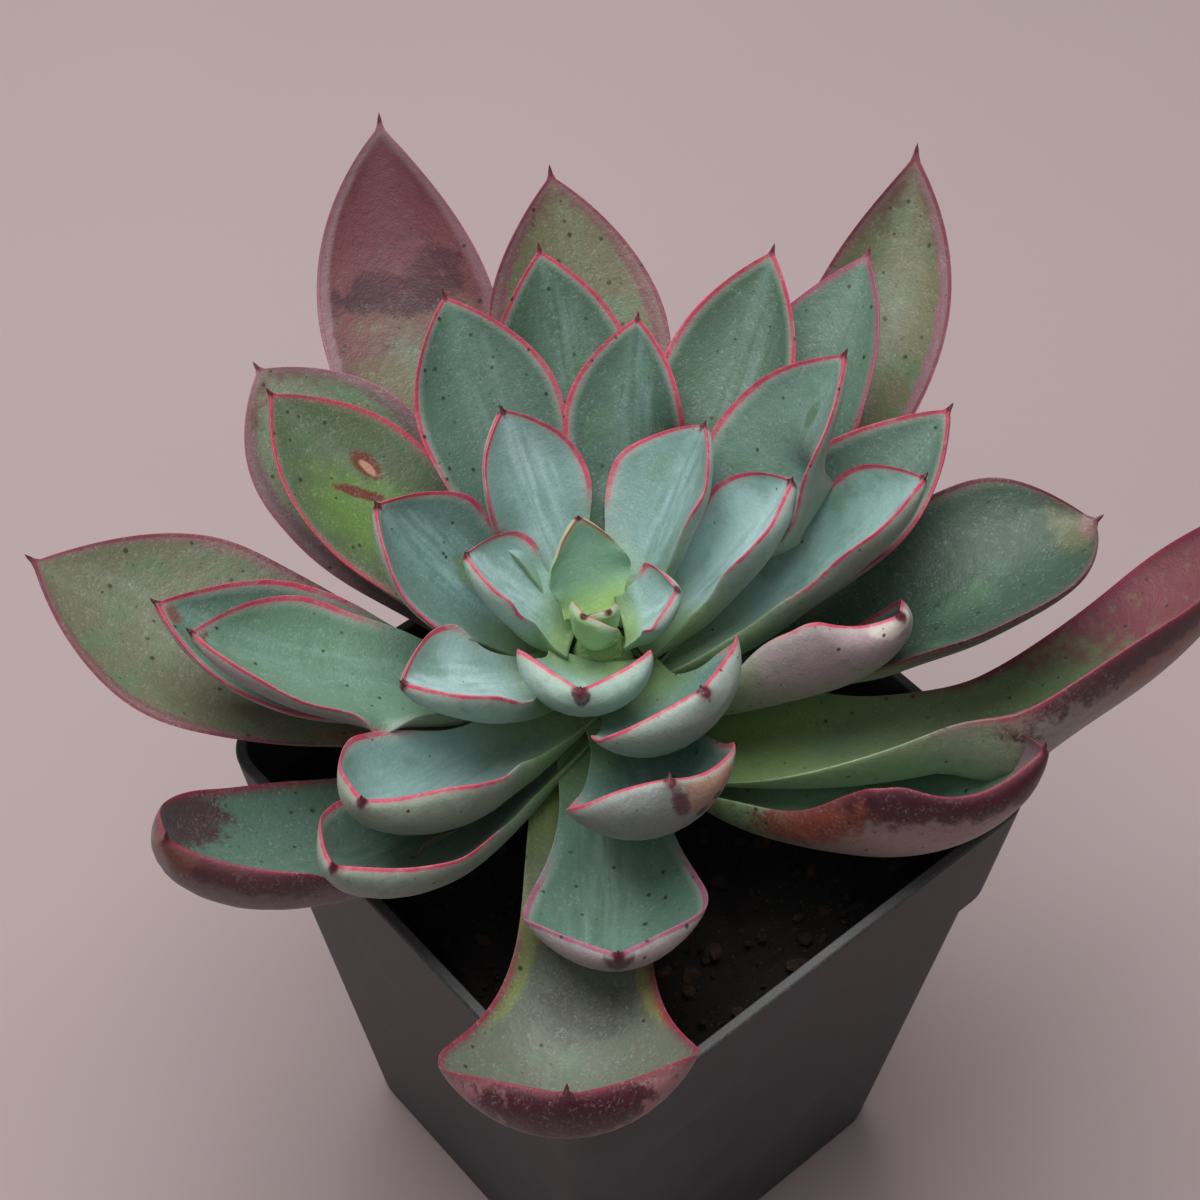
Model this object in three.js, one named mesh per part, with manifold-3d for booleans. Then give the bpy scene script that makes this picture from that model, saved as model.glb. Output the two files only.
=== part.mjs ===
// Rosette succulent with thick spoon-shaped leaves, growing in a square tapered nursery pot.
// Millimetres, +Z up. The origin is the centre of the pot's base, and the pot's sides lie along X and Y.
import * as THREE from "three";
import Module from "manifold-3d";

const wasm = await Module();
wasm.setup();

// Pot: outer size at the rim and at the base, the flared rim band, wall and floor
const POT_HEIGHT = 78;
const RIM_HALF_WIDTH = 35;
const RIM_CORNER = 6;
const BAND_HEIGHT = 18;
const BAND_HALF_WIDTH = 33.2;
const BODY_HALF_WIDTH = 32.2;
const BASE_HALF_WIDTH = 25.5;
const BASE_CORNER = 5;
const WALL = 1.4;
const LIP_ROUND = 0.5;
const FLOOR_THICKNESS = 1.8;
const BASE_CHAMFER = 1.2;
const CORNER_STEPS = 4;
const SIDE_STEPS = 4;
const DRAIN_DIAMETER = 7;
const DRAIN_OFFSET = 13;
const DRAIN_SIDES = 12;

// Soil: a filled block with a rough top and a plain hole for the stem
const SOIL_DEPTH_BELOW_RIM = 10;
const SOIL_ROUGHNESS = 0.9;
const SOIL_RINGS = 7;
const TOUCH_GAP = 0.3;

// Stem and the plant's place in the pot; heights on the plant are measured from the rim plane
const PLANT_TURN = -40.5;
const STEM_X = 0;
const STEM_Y = 4.6;
const STEM_RADIUS = 5.2;
const STEM_FOOT = -24;
const STEM_SIDES = 14;
const HOLE_CLEARANCE = 0.45;

// Leaf sections: rings along the blade and points round each ring
const LEAF_RINGS = 11;
const LEAF_SIDES = 10;
const MIDRIB_STEPS = 80;
const LEAF_THICKNESS = 3.4;
const UPPER_SHARE = 0.12;
const TIP_START = 0.97;
const TIP_RADIUS = 0.45;
const MIN_THICKNESS = 0.7;
const NECK_END = 0.12;

// Leaf defaults, which a single leaf may change
const LEAF_SHAPE = {
  thickness: LEAF_THICKNESS, neck: 0.45, widest: 0.66, flare: 1, blunt: 2.0, lift: 1.5, roll: 0, bend: 0,
};
const SPOON = { blunt: 2.7 };

// Each leaf: heading in degrees round the stem, length and width, height and distance of its root,
// pitch at root, middle and tip, and how far its edges curl up at root, middle and tip.
const HEART_LEAVES = [
  { heading: 8, length: 9, width: 12, height: 20.5, reach: 2.6, pitch: [25, 46, 86], curl: [48, 58, 48],
    roll: -8, thickness: 2.2, neck: 0.7 },
  { heading: 107, length: 12.5, width: 11, height: 20.2, reach: 3, pitch: [35, 65, 79],
    curl: [47, 52, 42], roll: 4, thickness: 2.2, neck: 0.75, widest: 0.45, blunt: 1.6 },
  { heading: -100, length: 15.5, width: 20, height: 18.5, reach: 2.6, pitch: [0, 35, 104],
    curl: [40, 74, 86], roll: 6, thickness: 2.6, neck: 0.6, ...SPOON },
  { heading: 165, length: 17, width: 15.5, height: 18.5, reach: 3.4, pitch: [20, 45, 58],
    curl: [48, 70, 50], roll: 16, bend: -3, thickness: 2.6, neck: 0.6 },
];
const INNER_LEAVES = [
  { heading: 64, length: 26, width: 17, height: 17.5, reach: 4, pitch: [25, 36, 44], curl: [43, 58, 44],
    roll: -26, bend: -8 },
  { heading: 120, length: 28, width: 15, height: 17, reach: 4, pitch: [28, 50, 62], curl: [42, 57, 37],
    roll: 8 },
  { heading: -58, length: 24.5, width: 23, height: 15.5, reach: 4, pitch: [5, 42, 112],
    curl: [30, 52, 48], roll: 5, bend: 8, ...SPOON },
  { heading: -146, length: 25, width: 17.5, height: 16, reach: 4, pitch: [5, 33, 48],
    curl: [42, 72, 58], roll: 9, bend: -12, widest: 0.6, flare: 1.5 },
  { heading: 32, length: 27.5, width: 17, height: 15.5, reach: 4.6, pitch: [15, 36, 69],
    curl: [48, 63, 53], roll: -26, bend: 2, flare: 1.2, ...SPOON },
  { heading: 84, length: 38, width: 15, height: 15, reach: 4.6, pitch: [25, 42, 50], curl: [35, 35, 30],
    roll: -10, bend: -4 },
  { heading: -70, length: 31.5, width: 22, height: 13, reach: 4.6, pitch: [-8, 24, 128],
    curl: [35, 50, 50], roll: 16, bend: -22, widest: 0.7, ...SPOON },
  { heading: 162, length: 30, width: 18.5, height: 14.5, reach: 4.6, pitch: [18, 43, 64],
    curl: [40, 55, 40], roll: -6 },
  { heading: -132, length: 39.5, width: 23, height: 13, reach: 4.6, pitch: [-8, 18, 84],
    curl: [45, 72, 66], roll: 18, widest: 0.62, flare: 1.8, ...SPOON },
];
const MIDDLE_LEAVES = [
  { heading: 19, length: 41, width: 18, height: 12.5, reach: 5, pitch: [8, 32, 56], curl: [52, 63, 53],
    roll: -22, bend: 3, widest: 0.7, flare: 1.3, ...SPOON },
  { heading: 43, length: 44, width: 19.5, height: 12.5, reach: 5, pitch: [18, 44, 53],
    curl: [43, 54, 44], roll: -20 },
  { heading: 117, length: 46, width: 19.2, height: 12, reach: 5, pitch: [20, 39, 53], curl: [35, 45, 30] },
  { heading: -169, length: 46, width: 19.5, height: 12, reach: 5, pitch: [2, 23, 54],
    curl: [40, 55, 50], roll: 6, bend: -6 },
  { heading: 65, length: 53, width: 17.6, height: 11, reach: 5, pitch: [20, 33, 51], curl: [35, 45, 30] },
  { heading: 97, length: 50, width: 19, height: 11, reach: 5, pitch: [20, 37, 50], curl: [35, 43, 26],
    roll: 10, bend: 8 },
  { heading: -129, length: 45, width: 22, height: 10, reach: 5, pitch: [-12, 12, 82],
    curl: [42, 62, 62], roll: 14, bend: -4, widest: 0.62, flare: 1.8, ...SPOON },
  { heading: -4, length: 35, width: 21, height: 11, reach: 5, pitch: [0, 13, 100], curl: [40, 62, 66],
    roll: -58, bend: 18, lift: 1.7, ...SPOON },
  { heading: -85, length: 37.5, width: 22.5, height: 10.5, reach: 5.2, pitch: [-14, -6, 84],
    curl: [26, 42, 52], roll: 6, bend: -8, neck: 0.55, widest: 0.75, flare: 2.2, blunt: 3.2, lift: 1.7 },
];
const OUTER_LEAVES = [
  { heading: 32, length: 50, width: 18, height: 9.5, reach: 5.2, pitch: [6, 24, 48], curl: [40, 50, 40],
    roll: 4, bend: 5 },
  { heading: 52, length: 60.5, width: 19, height: 8.5, reach: 5.4, pitch: [12, 28, 42],
    curl: [36, 49, 39], roll: -9, bend: 12 },
  { heading: 145, length: 49, width: 20, height: 10, reach: 5.4, pitch: [8, 29, 48], curl: [30, 35, 30] },
  { heading: 180, length: 49.5, width: 19, height: 9, reach: 5.4, pitch: [-2, 16, 48],
    curl: [35, 50, 45], roll: -6, bend: -8 },
  { heading: 11, length: 59, width: 27, height: 8, reach: 5.4, pitch: [-4, 16, 22], curl: [38, 54, 50],
    roll: -10, bend: 17, neck: 0.42, widest: 0.68, flare: 2.6, blunt: 4.4 },
  { heading: -143, length: 60, width: 28, height: 6.4, reach: 5.6, pitch: [-12, 8, 100],
    curl: [35, 60, 58], roll: 24, bend: -14, ...SPOON },
  { heading: 138, length: 56, width: 22.5, height: 6.5, reach: 5.6, pitch: [4, 22, 38],
    curl: [30, 30, 25], roll: -14, ...SPOON },
  { heading: -93, length: 62, width: 30.5, height: 7.6, reach: 5.8, pitch: [-11, -6, 116],
    curl: [24, 38, 56], roll: 6, bend: -2, neck: 0.5, widest: 0.77, flare: 4.2, blunt: 3.4, lift: 1.7 },
  { heading: -35, length: 56, width: 31, height: 5.5, reach: 5.8, pitch: [-14, 3, 84],
    curl: [36, 68, 58], roll: -46, bend: 64, neck: 0.3, widest: 0.56, flare: 4.5, lift: 1.2, ...SPOON },
  { heading: -13, length: 86, width: 27, height: 5.2, reach: 5.8, pitch: [-8, 12, 50],
    curl: [34, 56, 54], roll: -46, bend: 76, neck: 0.72, flare: 1.6, blunt: 2.2 },
  { heading: 47, length: 81, width: 20, height: 5, reach: 5.8, pitch: [8, 21, 55], curl: [35, 43, 39],
    bend: 35 },
  { heading: 92.5, length: 67, width: 24.5, height: 5, reach: 5.8, pitch: [12, 27, 49],
    curl: [30, 35, 25], roll: 11, bend: 10 },
  { heading: 122, length: 78, width: 23, height: 5, reach: 5.8, pitch: [10, 28, 55], curl: [25, 30, 25],
    roll: -7, bend: -28 },
  { heading: 174, length: 66, width: 27.5, height: 5, reach: 5.8, pitch: [-6, 15, 42],
    curl: [25, 30, 25], roll: -4, bend: -9 },
];

// The two folded leaves at the growing point, fused to the stem's tip
const BUD_LEAVES = [
  { heading: -60, length: 5.5, width: 4.5, height: 20.5, reach: 0.4, pitch: [80, 80, 80],
    curl: [60, 60, 50], thickness: 1.4, neck: 0.8 },
  { heading: -130, length: 7, width: 7.5, height: 20, reach: 0.8, pitch: [50, 75, 90],
    curl: [60, 60, 40], thickness: 1.6, neck: 0.7 },
];

const radians = THREE.MathUtils.degToRad;
const clamp01 = (x) => THREE.MathUtils.clamp(x, 0, 1);
const ease = (x) => clamp01(x) ** 2 * (3 - 2 * clamp01(x));
const mix = THREE.MathUtils.lerp;

// A value that runs from root to middle to tip
function along([root, middle, tip], s) {
  return root * (1 - s) ** 2 + 2 * middle * s * (1 - s) + tip * s ** 2;
}

// Pitch of the midrib: eased to the middle value, then lifted towards the tip
function pitchAt(leaf, s) {
  const [root, middle, tip] = leaf.pitch;
  if (s < 0.5) return mix(root, middle, ease(s / 0.5));
  return mix(middle, tip, ((s - 0.5) / 0.5) ** leaf.lift);
}

// Half of the blade's width at s
function halfWidthAt(leaf, s) {
  const half = leaf.width / 2;
  const opened = ease((s - NECK_END) / (leaf.widest - NECK_END)) ** leaf.flare;
  if (s < leaf.widest) return half * mix(leaf.neck, 1, opened);
  const t = clamp01((s - leaf.widest) / (1 - leaf.widest));
  return half * (1 - t ** leaf.blunt) ** 0.85 * (1 - 0.1 * t ** 3);
}

// Thickness of the blade at s: slim where it leaves the stem, full in the belly, slim at the tip
function thicknessAt(leaf, s) {
  const root = mix(0.6, 1, ease(s / 0.3));
  const belly = mix(0.55, 1, ease(1.25 - s / 0.75));
  const end = Math.sqrt(clamp01((1 - s) / 0.12));
  return Math.max(MIN_THICKNESS, leaf.thickness * root * belly * end);
}

// Midrib points with the three directions of the blade at each: forward, sideways and up
function midrib(leaf) {
  const heading = radians(leaf.heading);
  const point = new THREE.Vector3(Math.cos(heading), Math.sin(heading), 0).multiplyScalar(leaf.reach);
  point.z = leaf.height;
  const frames = [];
  for (let i = 0; i <= MIDRIB_STEPS; i += 1) {
    const s = i / MIDRIB_STEPS;
    const turn = radians(leaf.heading + leaf.bend * s ** 1.5);
    const pitch = radians(pitchAt(leaf, s));
    const forward = new THREE.Vector3(
      Math.cos(turn) * Math.cos(pitch), Math.sin(turn) * Math.cos(pitch), Math.sin(pitch));
    if (i > 0) {
      const before = frames[i - 1].forward;
      point.addScaledVector(before.clone().add(forward), leaf.length / MIDRIB_STEPS / 2);
    }
    const side = new THREE.Vector3(-Math.sin(turn), Math.cos(turn), 0);
    const up = new THREE.Vector3().crossVectors(forward, side);
    const roll = radians(leaf.roll) * ease(s / 0.5);
    side.applyAxisAngle(forward, roll);
    up.applyAxisAngle(forward, roll);
    frames.push({ s, point: point.clone(), forward, side, up });
  }
  return frames;
}

// One closed ring round the blade: an arc curled up at the edges, thick below and thin above
function leafRing(leaf, frame, grow) {
  const s = frame.s;
  const half = Math.max(halfWidthAt(leaf, s), TIP_RADIUS);
  const thickness = Math.min(thicknessAt(leaf, s), 1.24 * half + 0.25);
  const open = radians(along(leaf.curl, s));
  const radius = half / open;
  const ring = [];
  for (let i = 0; i < LEAF_SIDES; i += 1) {
    const angle = (i / LEAF_SIDES) * 2 * Math.PI;
    const across = Math.cos(angle);
    const depth = Math.abs(Math.sin(angle));
    const body = 0.45 * depth + 0.55 * depth ** 2.2;
    const share = Math.sin(angle) > 0 ? UPPER_SHARE : UPPER_SHARE - 1;
    const shift = share * thickness * body + Math.sign(share) * grow * depth;
    const swing = ((half + grow) / radius) * across;
    ring.push(frame.point.clone()
      .addScaledVector(frame.side, radius * Math.sin(swing) - Math.sin(swing) * shift)
      .addScaledVector(frame.up, radius * (1 - Math.cos(swing)) + Math.cos(swing) * shift));
  }
  return ring;
}

// Rings from root to tip, closer together towards the tip, and the pointed end
function leafRings(spec, grow = 0) {
  const leaf = { ...LEAF_SHAPE, ...spec };
  const frames = midrib(leaf);
  const rings = [];
  for (let i = 0; i < LEAF_RINGS; i += 1) {
    const t = i / (LEAF_RINGS - 1);
    const s = TIP_START * (0.55 * t + 0.45 * Math.sin((t * Math.PI) / 2));
    rings.push(leafRing(leaf, frames[Math.round(s * MIDRIB_STEPS)], grow));
  }
  const first = frames[0];
  const last = frames[MIDRIB_STEPS];
  const root = first.point.clone().addScaledVector(first.forward, -grow);
  rings[0].forEach((p) => p.addScaledVector(first.forward, -grow));
  const tip = last.point.clone().addScaledVector(last.forward, grow);
  return { rings, root, tip };
}

// A closed mesh from rings of equal length, with a point at each end
function skin(rings, start, end) {
  const points = [start, ...rings.flat(), end];
  const count = rings[0].length;
  const last = points.length - 1;
  const faces = [];
  const at = (ring, i) => 1 + ring * count + (i % count);
  for (let i = 0; i < count; i += 1) {
    faces.push(0, at(0, i + 1), at(0, i));
    faces.push(last, at(rings.length - 1, i), at(rings.length - 1, i + 1));
    for (let ring = 0; ring < rings.length - 1; ring += 1) {
      faces.push(at(ring, i), at(ring, i + 1), at(ring + 1, i + 1));
      faces.push(at(ring, i), at(ring + 1, i + 1), at(ring + 1, i));
    }
  }
  return { points, faces };
}

// The same mesh as a solid that can be joined and cut, always the right way out
function solid({ points, faces }) {
  const make = (triVerts) => new wasm.Manifold(new wasm.Mesh({
    numProp: 3,
    vertProperties: new Float32Array(points.flatMap((p) => [p.x, p.y, p.z])),
    triVerts: new Uint32Array(triVerts),
  }));
  const made = make(faces);
  if (made.volume() > 0) return made;
  return make(faces.map((_, i) => faces[i - (i % 3) + (2 - (i % 3))]));
}

// A named mesh with a material of its own
function meshOf(name, body, look) {
  const source = body.getMesh();
  const geometry = new THREE.BufferGeometry();
  geometry.setAttribute("position", new THREE.BufferAttribute(new Float32Array(source.vertProperties), 3));
  geometry.setIndex(new THREE.BufferAttribute(new Uint32Array(source.triVerts), 1));
  geometry.computeVertexNormals();
  const mesh = new THREE.Mesh(geometry, new THREE.MeshStandardMaterial(look));
  mesh.name = name;
  return mesh;
}

// The largest piece of a cut solid
function largest(body) {
  const pieces = body.decompose();
  return pieces.reduce((best, piece) => (piece.volume() > best.volume() ? piece : best));
}

// Square with rounded corners as a ring of points, each quarter a side of +X and the corner after it
function squareRing(half, corner, z) {
  const flat = half - corner;
  const quarter = [];
  for (let i = 1; i < SIDE_STEPS; i += 1) quarter.push([half, mix(-flat, flat, i / SIDE_STEPS)]);
  for (let i = 0; i <= CORNER_STEPS; i += 1) {
    const angle = radians((90 * i) / CORNER_STEPS);
    quarter.push([flat + corner * Math.cos(angle), flat + corner * Math.sin(angle)]);
  }
  const turns = [([x, y]) => [x, y], ([x, y]) => [-y, x], ([x, y]) => [-x, -y], ([x, y]) => [y, -x]];
  return turns.flatMap((turn) => quarter.map((p) => new THREE.Vector3(...turn(p), z)));
}

// Outer half-width and corner radius of the pot at height z
function potHalfAt(z) {
  const bandFoot = POT_HEIGHT - BAND_HEIGHT;
  if (z > bandFoot) return mix(BAND_HALF_WIDTH, RIM_HALF_WIDTH, (z - bandFoot) / BAND_HEIGHT);
  return mix(BASE_HALF_WIDTH, BODY_HALF_WIDTH, z / bandFoot);
}
const potCornerAt = (z) => mix(BASE_CORNER, RIM_CORNER, z / POT_HEIGHT);

function potSolid() {
  const bandFoot = POT_HEIGHT - BAND_HEIGHT;
  const outside = (z, inset = 0) => squareRing(potHalfAt(z) - inset, potCornerAt(z) - inset, z);
  const inside = (z) => squareRing(potHalfAt(z) - WALL, potCornerAt(z) - WALL, z);
  const rings = [
    outside(0, BASE_CHAMFER),
    outside(BASE_CHAMFER),
    outside(bandFoot - 0.6),
    squareRing(BAND_HALF_WIDTH, potCornerAt(bandFoot), bandFoot + 0.01),
    outside(POT_HEIGHT - LIP_ROUND),
    outside(POT_HEIGHT, LIP_ROUND),
    squareRing(RIM_HALF_WIDTH - WALL, RIM_CORNER - WALL, POT_HEIGHT),
    inside(bandFoot + 0.6),
    inside(bandFoot - 0.6),
    inside(FLOOR_THICKNESS),
  ];
  let pot = solid(skin(rings, new THREE.Vector3(0, 0, 0), new THREE.Vector3(0, 0, FLOOR_THICKNESS)));
  const drill = wasm.Manifold.cylinder(
    FLOOR_THICKNESS * 3, DRAIN_DIAMETER / 2, DRAIN_DIAMETER / 2, DRAIN_SIDES, true);
  for (const x of [-DRAIN_OFFSET, DRAIN_OFFSET]) {
    for (const y of [-DRAIN_OFFSET, DRAIN_OFFSET]) {
      pot = pot.subtract(drill.translate([x, y, FLOOR_THICKNESS / 2]));
    }
  }
  return pot;
}

// Lumps on the soil's surface
function soilLump(x, y) {
  const waves = Math.sin(0.55 * x + 1.3) * Math.cos(0.47 * y - 0.6) + 0.6 * Math.sin(0.9 * x - 0.8 * y + 2);
  return SOIL_ROUGHNESS * waves;
}

function soilSolid() {
  const top = POT_HEIGHT - SOIL_DEPTH_BELOW_RIM;
  const bandFoot = POT_HEIGHT - BAND_HEIGHT;
  const inset = WALL + TOUCH_GAP;
  const wallRing = (z) => squareRing(potHalfAt(z) - inset, potCornerAt(z) - inset, z);
  const holeRadius = STEM_RADIUS + HOLE_CLEARANCE;
  const holeFloor = POT_HEIGHT + STEM_FOOT - TOUCH_GAP;
  const rim = wallRing(top);
  const holeRing = (z) => rim.map((p) => {
    const angle = Math.atan2(p.y - STEM_Y, p.x - STEM_X);
    return new THREE.Vector3(STEM_X + holeRadius * Math.cos(angle), STEM_Y + holeRadius * Math.sin(angle), z);
  });
  const rings = [wallRing(FLOOR_THICKNESS + TOUCH_GAP), wallRing(bandFoot - 0.9), wallRing(bandFoot + 1), rim];
  const mouth = holeRing(top);
  for (let i = 1; i < SOIL_RINGS; i += 1) {
    const t = i / SOIL_RINGS;
    rings.push(rim.map((p, k) => {
      const q = p.clone().lerp(mouth[k], t);
      q.z += soilLump(q.x, q.y);
      return q;
    }));
  }
  rings.push(mouth, holeRing(holeFloor));
  const floor = new THREE.Vector3(0, 0, FLOOR_THICKNESS + TOUCH_GAP);
  return solid(skin(rings, floor, new THREE.Vector3(STEM_X, STEM_Y, holeFloor)));
}

// Stem radius by height over the rim plane
const STEM_PROFILE = [
  [STEM_FOOT, STEM_RADIUS - 0.6],
  [-14, STEM_RADIUS],
  [4, STEM_RADIUS],
  [12, 4.6],
  [17, 3.4],
  [20, 2.2],
  [21.4, 1.2],
];

function stemSolid(grow) {
  const ringAt = ([z, r]) => Array.from({ length: STEM_SIDES }, (_, i) => {
    const angle = (i / STEM_SIDES) * 2 * Math.PI;
    return new THREE.Vector3((r + grow) * Math.cos(angle), (r + grow) * Math.sin(angle), z);
  });
  const foot = new THREE.Vector3(0, 0, STEM_FOOT - grow);
  const top = new THREE.Vector3(0, 0, STEM_PROFILE.at(-1)[0] + 0.4 + grow);
  const bud = BUD_LEAVES.map((leaf) => leafSolid(leaf, grow));
  return bud.reduce((whole, leaf) => whole.add(leaf), solid(skin(STEM_PROFILE.map(ringAt), foot, top)));
}

function leafSolid(leaf, grow) {
  const { rings, root, tip } = leafRings(leaf, grow);
  return solid(skin(rings, root, tip));
}

// Places a plant solid in the pot
function potted(body) {
  return body.rotate([0, 0, PLANT_TURN]).translate([STEM_X, STEM_Y, POT_HEIGHT]);
}

// Looks
const LOOKS = {
  pot: { color: 0x25282c, roughness: 0.55, metalness: 0 },
  soil: { color: 0x1d1712, roughness: 0.95, metalness: 0 },
  stem: { color: 0x8fa77a, roughness: 0.6, metalness: 0 },
  heart: { color: 0x93bfa0, roughness: 0.5, metalness: 0 },
  inner: { color: 0x86b3a1, roughness: 0.5, metalness: 0 },
  middle: { color: 0x7fa892, roughness: 0.5, metalness: 0 },
  outer: { color: 0x7d8f70, roughness: 0.5, metalness: 0 },
};

const part = new THREE.Group();
part.name = "potted_rosette_succulent";
part.add(meshOf("pot", potSolid(), LOOKS.pot));
part.add(meshOf("soil", soilSolid(), LOOKS.soil));
part.add(meshOf("stem_with_bud", potted(stemSolid(0)), LOOKS.stem));

// Leaves from the heart outwards; each is trimmed clear of the stem and of the leaves over it
const whorls = { heart: HEART_LEAVES, inner: INNER_LEAVES, middle: MIDDLE_LEAVES, outer: OUTER_LEAVES };
const taken = [stemSolid(TOUCH_GAP)];
for (const [whorl, leaves] of Object.entries(whorls)) {
  leaves.forEach((leaf, i) => {
    const body = taken.reduce((rest, other) => rest.subtract(other), leafSolid(leaf, 0));
    taken.push(leafSolid(leaf, TOUCH_GAP));
    part.add(meshOf(`${whorl}_leaf_${i + 1}`, potted(largest(body)), LOOKS[whorl]));
  });
}

export default part;
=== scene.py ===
"""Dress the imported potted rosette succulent: finer leaves, stem, soil and pot, with their finishes."""

import logging
import math
import random
from dataclasses import dataclass, replace
from enum import Enum

import bpy
import numpy as np
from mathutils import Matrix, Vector
from mathutils.bvhtree import BVHTree

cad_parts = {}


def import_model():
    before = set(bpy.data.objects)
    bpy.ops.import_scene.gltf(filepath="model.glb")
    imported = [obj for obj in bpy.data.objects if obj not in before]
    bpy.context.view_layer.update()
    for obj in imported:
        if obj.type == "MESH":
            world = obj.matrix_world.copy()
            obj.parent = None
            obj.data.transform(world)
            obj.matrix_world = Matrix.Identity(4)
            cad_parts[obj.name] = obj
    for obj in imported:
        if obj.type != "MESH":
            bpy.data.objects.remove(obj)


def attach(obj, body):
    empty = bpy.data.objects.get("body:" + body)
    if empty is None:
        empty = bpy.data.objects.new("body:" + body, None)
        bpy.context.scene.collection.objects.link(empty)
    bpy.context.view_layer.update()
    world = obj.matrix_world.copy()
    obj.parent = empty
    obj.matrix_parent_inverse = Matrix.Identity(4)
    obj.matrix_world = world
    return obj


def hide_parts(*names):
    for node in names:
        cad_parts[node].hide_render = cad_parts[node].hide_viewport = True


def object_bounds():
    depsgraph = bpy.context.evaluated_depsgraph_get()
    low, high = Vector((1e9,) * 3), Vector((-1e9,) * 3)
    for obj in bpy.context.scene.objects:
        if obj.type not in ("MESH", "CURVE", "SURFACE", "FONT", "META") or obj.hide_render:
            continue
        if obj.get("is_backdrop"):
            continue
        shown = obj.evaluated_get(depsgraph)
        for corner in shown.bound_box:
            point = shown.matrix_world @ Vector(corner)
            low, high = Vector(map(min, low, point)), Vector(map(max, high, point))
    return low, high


LOG = logging.getLogger("scene")
MM = 0.001
Colour = tuple[float, float, float]

# The plant's place in the pot, in millimetres and degrees
POT_HEIGHT = 78.0
PLANT_TURN = -40.5
STEM_X = 0.0
STEM_Y = 4.6


def srgb(red: int, green: int, blue: int) -> Colour:
    """Turn an everyday 0 to 255 colour into a linear one.

    Args:
        red: red, 0 to 255.
        green: green, 0 to 255.
        blue: blue, 0 to 255.

    Returns:
        The linear colour.
    """
    def linear(value: int) -> float:
        part = value / 255
        return part / 12.92 if part <= 0.04045 else ((part + 0.055) / 1.055) ** 2.4

    return linear(red), linear(green), linear(blue)


def ease(x):
    """Smooth step from 0 to 1, for a number or an array."""
    x = np.clip(x, 0.0, 1.0)
    return x * x * (3 - 2 * x)


# Shader maths


class Value:
    """A shader socket that takes part in Python arithmetic."""

    def __init__(self, graph: "Graph", socket):
        self.graph = graph
        self.socket = socket

    def __add__(self, other):
        return self.graph.math("ADD", self, other)

    def __radd__(self, other):
        return self.graph.math("ADD", other, self)

    def __sub__(self, other):
        return self.graph.math("SUBTRACT", self, other)

    def __rsub__(self, other):
        return self.graph.math("SUBTRACT", other, self)

    def __mul__(self, other):
        return self.graph.math("MULTIPLY", self, other)

    def __rmul__(self, other):
        return self.graph.math("MULTIPLY", other, self)

    def __truediv__(self, other):
        return self.graph.math("DIVIDE", self, other)

    def __rtruediv__(self, other):
        return self.graph.math("DIVIDE", other, self)

    def __pow__(self, other):
        return self.graph.math("POWER", self, other)

    def __neg__(self):
        return self.graph.math("MULTIPLY", self, -1.0)

    def __abs__(self):
        return self.graph.math("ABSOLUTE", self)


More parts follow.
